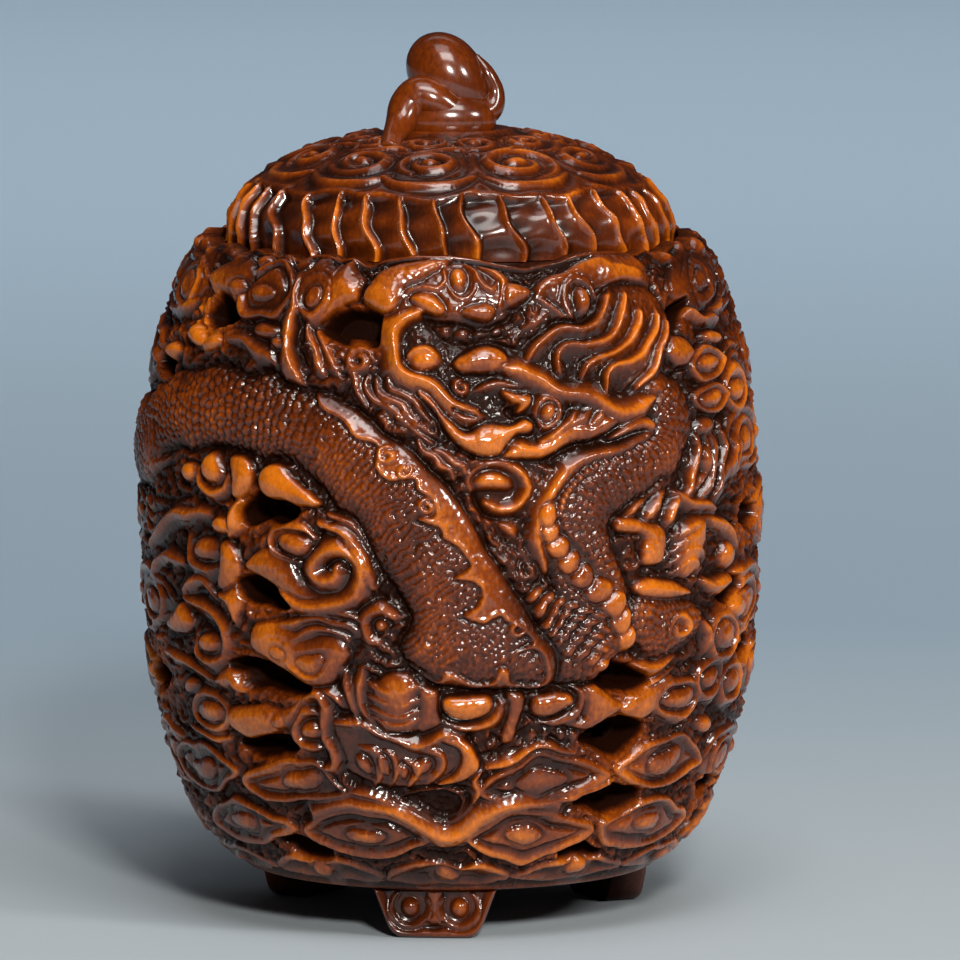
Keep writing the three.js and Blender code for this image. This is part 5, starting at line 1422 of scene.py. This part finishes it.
def swept(path, sides):
    """A tube: rings of points round a path of (x, y, z, radius), each square to the path."""
    middle, radius = path[:, :3], path[:, 3]
    way = unit(np.gradient(middle, axis=0))
    side = unit(np.cross(way, np.array([0.0, 1.0, 0.0])))
    other = np.cross(side, way)
    turn = 2 * np.pi * np.arange(sides) / sides
    round_way = np.cos(turn)[:, None] * side[:, None] + np.sin(turn)[:, None] * other[:, None]
    return middle[:, None] + radius[:, None, None] * round_way


def capped(points, steps=10):
    """A path of (x, y, z, radius) with shrinking rings added: a round cap first, a blunt one last."""
    path = curve(points, steps=12)
    turn = np.linspace(0, 0.5 * np.pi, steps, endpoint=False)[1:]
    ends = []
    for near, beyond, bulge in ((path[0], path[1], 1.0), (path[-1], path[-2], 0.3)):
        way = unit(near[:3] - beyond[:3])
        r = near[3]
        at = near[:3] + bulge * r * np.sin(turn)[:, None] * way
        ends.append(np.concatenate([at, (r * np.cos(turn))[:, None]], 1))
    return np.concatenate([ends[0][::-1], path, ends[1]])


def egg(middle, way, half, radius, lean):
    """A path of (x, y, z, radius) for an egg about an axis, its first end fuller by a share."""
    t = -np.cos(np.linspace(0, np.pi, 62)[1:-1])
    centre = np.array(middle) + half * t[:, None] * unit(np.array(way))
    return np.concatenate([centre, (radius * np.sqrt(1 - t * t) * (1 - lean * t))[:, None]], 1)


# Middle line and radius of the curl
KNOB_CURL = [(2.4, -0.6, 75.8, 0.3), (3.2, -0.8, 74.5, 0.7), (3.9, -0.8, 72.7, 0.9),
             (3.5, -1.2, 71.3, 1.15), (2.0, -1.9, 70.8, 1.3), (0.25, -2.4, 71.2, 1.5),
             (-1.3, -2.5, 72.1, 1.75), (-2.6, -2.3, 72.5, 1.85), (-3.65, -2.6, 71.6, 1.75),
             (-4.35, -3.8, 70.2, 1.35), (-5.0, -5.6, 69.2, 0.95), (-5.3, -7.2, 68.2, 0.95)]


def knob(material):
    """A bud with a curl laid round its foot: tubes of changing radius along paths."""
    bud = egg((-0.1, 0, 74.0), (0.62, -0.2, -0.77), 4.35, 3.2, 0.08)
    foot_ball = egg((-0.4, -1.7, 70.4), (1, 0, 0), 4.5, 2.6, 0)
    for name, path in (("knob_bud", bud), ("knob_curl", capped(KNOB_CURL)), ("knob_base", foot_ball)):
        grid = swept(path, KNOB_SIDES)
        shape = Shape()
        ring = joined(shape.add_points(grid, KNOB_HEIGHT, 0.0, 1.0))
        poles = shape.add_points(path[[0, -1], :3], KNOB_HEIGHT, 0.0, 1.0)
        spots = corners_of(square(len(grid), KNOB_SIDES + 1, *KNOB_STRIP))
        shape.add_faces(quads(ring), spots, corners_of(joined(round_normals(grid))))
        first = fan(ring[0, 1:], ring[0, :-1], poles[0])
        last = fan(ring[-1, :-1], ring[-1, 1:], poles[1])
        ends = np.concatenate([first, last])
        shape.add_faces(ends, tiles(len(ends), 3, *KNOB_END_STRIP))
        shape.finish(name, material, "lid", "knob")


# Feet

FOOT_TURN = -4.6
FOOT_FACE = 17.2
FOOT_DEPTH = 3.5
FOOT_HEIGHT = 4.3
FOOT_ROWS = 57
FOOT_COLS = 113
# Middle of the scroll on each side of the foot's face
FOOT_SCROLL = (2.15, 2.65)


def foot_half(z):
    """Half the foot's width at a height: slanted sides on a rounded toe."""
    toe = np.clip(1 - z / 1.1, 0, 1)
    return 3.75 + 0.38 * z - 1.0 * (1 - np.sqrt(1 - toe ** 2))


def foot(name, degrees, material):
    """A foot at an angle round the base: a carved face, a flat back and the sides between them."""
    v, u = np.meshgrid(np.linspace(0, 1, FOOT_ROWS), np.linspace(-1, 1, FOOT_COLS), indexing="ij")
    z = FOOT_HEIGHT * v
    x = foot_half(z) * u
    field = Field(np.stack([x, z], -1), 0.1, -0.55)
    field.deepest = -1.0
    border = [(-5.6, 4.6), (-4.6, 2.6), (-3.9, 1.2), (-2.9, 0.45), (0, 0.3), (2.9, 0.45), (3.9, 1.2),
              (4.6, 2.6), (5.6, 4.6)]
    field.polish[:] = 0.6
    field.ridge(border, 1.5, 0.0, 0.3, 0.01)
    field.pad([(-0.75, 4.5), (-0.5, 2.8), (-0.75, 1.5), (0, 1.2), (0.75, 1.5), (0.5, 2.8), (0.75, 4.5),
               (0, 4.6)], -0.05, 0.4, 0.5)
    aside, lift = FOOT_SCROLL
    for side in (-1, 1):
        field.scroll(aside * side, lift, 1.7, turns=0.72, start=90 - 40 * side, way=-side, width=0.6,
                     top=-0.2, inner=0.95)
        field.boss(aside * side, lift, 1.5, 1.6, top=0.0)
    field.pad([(-1.2, 0.95), (0, 1.2), (1.2, 0.95), (0, 0.65)], -0.7, -0.2, 0.3, 0, 0.2, 0.3)
    height = blur(field.height, 0.8, False)
    # darker in the foot's hollows, for a stain there and painted shade
    cavity = height - blur(height, 6, False)
    rim = np.minimum(np.minimum(1 - np.abs(u), v), 1 - v)
    height = height - 0.5 * rounded(rim, 0.06)

    def placed(y):
        """The foot's points at a distance along its own axis, turned into place."""
        return np.stack([*spin(x, y, degrees), z], -1)

    front = placed(-FOOT_FACE - height)
    back = placed(np.full_like(x, FOOT_DEPTH - FOOT_FACE))
    outward = unit(np.cross(np.gradient(front, axis=1), np.gradient(front, axis=0)))
    shape = Shape()
    fore = shape.add_points(front, height, cavity, field.polish)
    rear = shape.add_points(back)
    spots = corners_of(square(FOOT_ROWS, FOOT_COLS, *FOOT_STRIP))
    shape.add_faces(quads(fore), spots, corners_of(outward))
    spots = corners_of(square(FOOT_ROWS, FOOT_COLS, *FOOT_BACK_STRIP))
    shape.add_faces(quads(rear)[..., ::-1], spots)
    sides = []
    for a, b in ((fore[0], rear[0]), (rear[-1], fore[-1]), (rear[:, 0], fore[:, 0]),
                 (fore[:, -1], rear[:, -1])):
        sides.append(np.stack([a[:-1], b[:-1], b[1:], a[1:]], 1))
    sides = np.concatenate(sides)
    shape.add_faces(sides, tiles(len(sides), 4, *FOOT_SIDE_STRIP))
    shape.finish(f"{name}_scrolls", material, "cage", name)


# Materials

# Boxwood's tone: what is added to each part of it, and its share. The cavity and relief parts darken the
# cuts and deep places: a dark stain there, and painted shade with it
CAVITY_STAIN_AND_SHADE = (0.0, 0.64)
DEPTH_STAIN_AND_SHADE = (0.1, 0.14)
POLISH_TONE = (0.15, 0.1)
PATCH_TONE = (-0.5, 0.75)
FINE_TONE = (-0.5, 0.55)
FINE_LOST_BY_POLISH = -0.3
# Depths at which the tone and the wax begin and end
CAVITY_DEPTHS = (-0.8, 0.7)
RELIEF_DEPTHS = (-2.0, 0.2)
WAX_DEPTHS = (-1.7, -0.2)
# Its colours, from the cuts to the worn tops; the near-black end stands for the stain in the cuts and
# painted shade there
BOXWOOD_COLOURS = (
    (0.24, (0.013, 0.0025, 0.0004)),
    (0.42, (0.036, 0.006, 0.0006)),
    (0.6, (0.088, 0.0138, 0.0008)),
    (0.78, (0.2, 0.0345, 0.001)),
    (1.0, (0.6, 0.145, 0.005)),
)
# Noise scales of its patches, its fine grain and its pores, and how far they are drawn out upwards
PATCH_SCALE = 130
FINE_SCALE = 2800
PORE_SCALE = 3600
BOXWOOD_DRAW = 0.6
PLAIN_DRAW = 0.2


def set_input(tree, socket, value):
    """Links a socket to another, or sets its value."""
    if isinstance(value, bpy.types.NodeSocket):
        tree.links.new(value, socket)
    else:
        socket.default_value = value


def math(tree, operation, a, b):
    """Two values or sockets combined by a Math node."""
    node = tree.nodes.new("ShaderNodeMath")
    node.operation = operation
    set_input(tree, node.inputs[0], a)
    set_input(tree, node.inputs[1], b)
    return node.outputs[0]


def part(tree, value, offset, share):
    """A value with an offset added, times a share."""
    return math(tree, "MULTIPLY", math(tree, "ADD", value, offset), share)


def stretch(tree, value, low, high):
    """A value's place between two limits, from 0 to 1, eased."""
    node = tree.nodes.new("ShaderNodeMapRange")
    node.interpolation_type = "SMOOTHSTEP"
    tree.links.new(value, node.inputs["Value"])
    node.inputs["From Min"].default_value = low
    node.inputs["From Max"].default_value = high
    return node.outputs["Result"]


def ramp(tree, value, stops):
    """A colour picked by a value between stops of (place, colour)."""
    node = tree.nodes.new("ShaderNodeValToRGB")
    points = node.color_ramp.elements
    points[0].position, points[1].position = stops[0][0], stops[-1][0]
    points[0].color, points[1].color = (*stops[0][1], 1), (*stops[-1][1], 1)
    for place, colour in stops[1:-1]:
        points.new(place).color = (*colour, 1)
    tree.links.new(value, node.inputs[0])
    return node.outputs[0]


def new_material(name):
    """A material with its node tree and its shader."""
    material = bpy.data.materials.new(name)
    material.use_nodes = True
    tree = material.node_tree
    return material, tree, tree.nodes["Principled BSDF"]


def attribute(tree, name):
    """A value that the mesh holds at each point."""
    node = tree.nodes.new("ShaderNodeAttribute")
    node.attribute_name = name
    return node.outputs["Fac"]


def grain_group():
    """The grain of wood as a shader group: noise in the object's own coordinates, drawn out upwards."""
    group = bpy.data.node_groups.new("wood_grain", "ShaderNodeTree")
    for name, kind in (("Scale", "NodeSocketFloat"), ("Draw", "NodeSocketVector"),
                       ("Detail", "NodeSocketFloat")):
        group.interface.new_socket(name, in_out="INPUT", socket_type=kind)
    group.interface.new_socket("Grain", in_out="OUTPUT", socket_type="NodeSocketFloat")
    given = group.nodes.new("NodeGroupInput").outputs
    grain_out = group.nodes.new("NodeGroupOutput").inputs["Grain"]
    place = group.nodes.new("ShaderNodeTexCoord")
    mapping = group.nodes.new("ShaderNodeMapping")
    noise = group.nodes.new("ShaderNodeTexNoise")
    group.links.new(place.outputs["Object"], mapping.inputs["Vector"])
    group.links.new(given["Draw"], mapping.inputs["Scale"])
    group.links.new(mapping.outputs[0], noise.inputs["Vector"])
    group.links.new(given["Scale"], noise.inputs["Scale"])
    group.links.new(given["Detail"], noise.inputs["Detail"])
    group.links.new(noise.outputs["Fac"], grain_out)
    return group


WOOD_GRAIN = grain_group()


def wood_grain(tree, scale, draw, detail):
    """The grain group placed in a material with its own values."""
    node = tree.nodes.new("ShaderNodeGroup")
    node.node_tree = WOOD_GRAIN
    node.inputs["Scale"].default_value = scale
    node.inputs["Draw"].default_value = (1, 1, draw)
    node.inputs["Detail"].default_value = detail
    return node.outputs["Grain"]


def boxwood_material():
    """Waxed boxwood: orange-brown on the worn tops, red-brown on the slopes, near black in the cuts, from
    a dark stain there and painted shade.
    """
    material, tree, shader = new_material("boxwood")
    relief = attribute(tree, "relief")
    polish = attribute(tree, "polish")
    # painted shade with the stain: the tone falls in cuts and hollows (cavity) and in deep places (relief)
    tone = part(tree, stretch(tree, attribute(tree, "cavity"), *CAVITY_DEPTHS), *CAVITY_STAIN_AND_SHADE)
    tone = math(tree, "ADD", tone, part(tree, stretch(tree, relief, *RELIEF_DEPTHS), *DEPTH_STAIN_AND_SHADE))
    tone = math(tree, "ADD", tone, part(tree, polish, *POLISH_TONE))
    patches = wood_grain(tree, PATCH_SCALE, BOXWOOD_DRAW, 3)
    tone = math(tree, "ADD", tone, part(tree, patches, *PATCH_TONE))
    offset, share = FINE_TONE
    share = math(tree, "ADD", share, math(tree, "MULTIPLY", polish, FINE_LOST_BY_POLISH))
    fine = wood_grain(tree, FINE_SCALE, BOXWOOD_DRAW, 2)
    tone = math(tree, "ADD", tone, part(tree, fine, offset, share))
    tree.links.new(ramp(tree, tone, BOXWOOD_COLOURS), shader.inputs["Base Color"])
    # the wax shines on what hands can reach and is dull in the cuts
    sheen = math(tree, "ADD", math(tree, "MULTIPLY", polish, 0.5), 0.5)
    sheen = math(tree, "MULTIPLY", stretch(tree, relief, *WAX_DEPTHS), sheen)
    rough = math(tree, "SUBTRACT", 0.6, math(tree, "MULTIPLY", sheen, 0.25))
    tree.links.new(rough, shader.inputs["Roughness"])
    tree.links.new(math(tree, "MULTIPLY", sheen, 0.9), shader.inputs["Coat Weight"])
    shader.inputs["Specular IOR Level"].default_value = 0.06
    shader.inputs["Coat Roughness"].default_value = 0.16
    shader.inputs["Coat IOR"].default_value = 1.65
    bump = tree.nodes.new("ShaderNodeBump")
    bump.inputs["Strength"].default_value = 0.55
    bump.inputs["Distance"].default_value = 0.0001
    tree.links.new(wood_grain(tree, PORE_SCALE, BOXWOOD_DRAW, 2), bump.inputs["Height"])
    tree.links.new(bump.outputs[0], shader.inputs["Normal"])
    return material


def plain_wood(name, dark, light, scale, rough):
    """A plain wood: two colours mixed by noise drawn out along the grain."""
    material, tree, shader = new_material(name)
    colour = ramp(tree, wood_grain(tree, scale, PLAIN_DRAW, 4), ((0.3, dark), (0.7, light)))
    tree.links.new(colour, shader.inputs["Base Color"])
    shader.inputs["Roughness"].default_value = rough
    return material


def give_material(node, material):
    """Puts a material on a node of the frame in place of its own."""
    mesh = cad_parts[node].data
    mesh.materials.clear()
    mesh.materials.append(material)


# Stage

FLOOR_HALF = 4
# How far back the floor's colours run, and the colours from near to far: a bluish grey, a little darker a
# short way back and lighter far off, as painted light and shade of the backdrop
FLOOR_DEPTHS = (-0.02, 0.7)
FLOOR_COLOURS_AND_SHADE = (
    (0, (0.425, 0.483, 0.525)),
    (0.2, (0.345, 0.455, 0.555)),
    (0.5, (0.415, 0.535, 0.65)),
    (1, (0.525, 0.685, 0.825)),
)
# Lamps: name, place, aim, width, depth, power, colour and spread in degrees
MIDDLE = (0, 0, 0.04)
WARM = (1.0, 0.96, 0.9)
COOL = (0.95, 0.97, 1.0)
LAMPS = (
    ("key", (0.14, -0.88, 0.46), MIDDLE, 0.12, 0.12, 7.0, WARM, 180),
    ("above", (0.1, -0.45, 0.7), MIDDLE, 0.4, 0.25, 3.0, (1.0, 0.98, 0.95), 180),
    ("right", (0.6, -0.5, 0.45), MIDDLE, 0.14, 0.14, 2.6, WARM, 180),
    ("top", (0.0, -0.2, 0.8), MIDDLE, 0.4, 0.3, 0.9, COOL, 180),
    ("back", (0.0, 0.9, 1.1), (0, 1.0, 0), 1.6, 0.9, 3.0, COOL, 90),
)
WORLD_COLOUR = (0.62, 0.7, 0.78, 1)
WORLD_STRENGTH = 0.033
CAMERA_PLACE = (0, -0.9, 0.146)
CAMERA_AIM = (0.00265, 0, 0.03827)
SENSOR_WIDTH = 36
LENS_LENGTH = 384
FARTHEST = 10


def facing(thing, place, aim):
    """Sets a lamp or the camera at a place, turned to look at an aim."""
    thing.location = place
    thing.rotation_euler = (Vector(aim) - Vector(place)).to_track_quat("-Z", "Y").to_euler()
    bpy.context.collection.objects.link(thing)


def lay_floor():
    """A wide flat floor, its colour picked by the distance from the front, with painted light and shade of
    the backdrop in it.
    """
    far = FLOOR_HALF
    mesh = bpy.data.meshes.new("floor")
    mesh.from_pydata([(-far, -far, 0), (far, -far, 0), (far, far, 0), (-far, far, 0)], [], [(0, 1, 2, 3)])
    material, tree, shader = new_material("floor")
    place = tree.nodes.new("ShaderNodeSeparateXYZ")
    tree.links.new(tree.nodes.new("ShaderNodeTexCoord").outputs["Object"], place.inputs[0])
    away = stretch(tree, place.outputs["Y"], *FLOOR_DEPTHS)
    tree.links.new(ramp(tree, away, FLOOR_COLOURS_AND_SHADE), shader.inputs["Base Color"])
    shader.inputs["Roughness"].default_value = 0.8
    mesh.materials.append(material)
    floor = bpy.data.objects.new("floor", mesh)
    bpy.context.collection.objects.link(floor)


def stage():
    """A pale floor, soft lights and a camera at the photograph's angle."""
    lay_floor()
    for name, place, aim, width, depth, power, colour, spread in LAMPS:
        light = bpy.data.lights.new(name, "AREA")
        light.shape = "RECTANGLE"
        light.size, light.size_y = width, depth
        light.energy, light.color = power, colour
        light.spread = np.radians(spread)
        facing(bpy.data.objects.new(name, light), place, aim)
    world = bpy.data.worlds.new("studio")
    world.use_nodes = True
    sky = world.node_tree.nodes["Background"].inputs
    sky["Color"].default_value = WORLD_COLOUR
    sky["Strength"].default_value = WORLD_STRENGTH
    bpy.context.scene.world = world

    lens = bpy.data.cameras.new("camera")
    lens.sensor_width = SENSOR_WIDTH
    lens.lens = LENS_LENGTH
    lens.clip_end = FARTHEST
    camera = bpy.data.objects.new("camera", lens)
    facing(camera, CAMERA_PLACE, CAMERA_AIM)
    bpy.context.scene.camera = camera
    bpy.context.scene.view_settings.view_transform = "Standard"


def main():
    """Builds every piece on the frame, gives the other nodes their materials and sets the stage."""
    boxwood = boxwood_material()
    # near-black wood for the floor disc and collar: dark brown made darker as painted shade, for they are
    # seen only through the openings
    inner_wood = plain_wood("inner_wood", (0.03, 0.01, 0.003), (0.09, 0.03, 0.01), 300, 0.7)
    bamboo = plain_wood("bamboo", (0.3, 0.18, 0.07), (0.5, 0.32, 0.13), 500, 0.5)
    barrel(boxwood)
    lid(boxwood)
    knob(boxwood)
    for k, side in enumerate(("front", "right", "left")):
        foot(f"foot_{side}", FOOT_TURN + 120 * k, boxwood)
        give_material(f"foot_peg_{side}", bamboo)
    give_material("floor_disc", inner_wood)
    give_material("lid_collar", inner_wood)
    stage()


main()
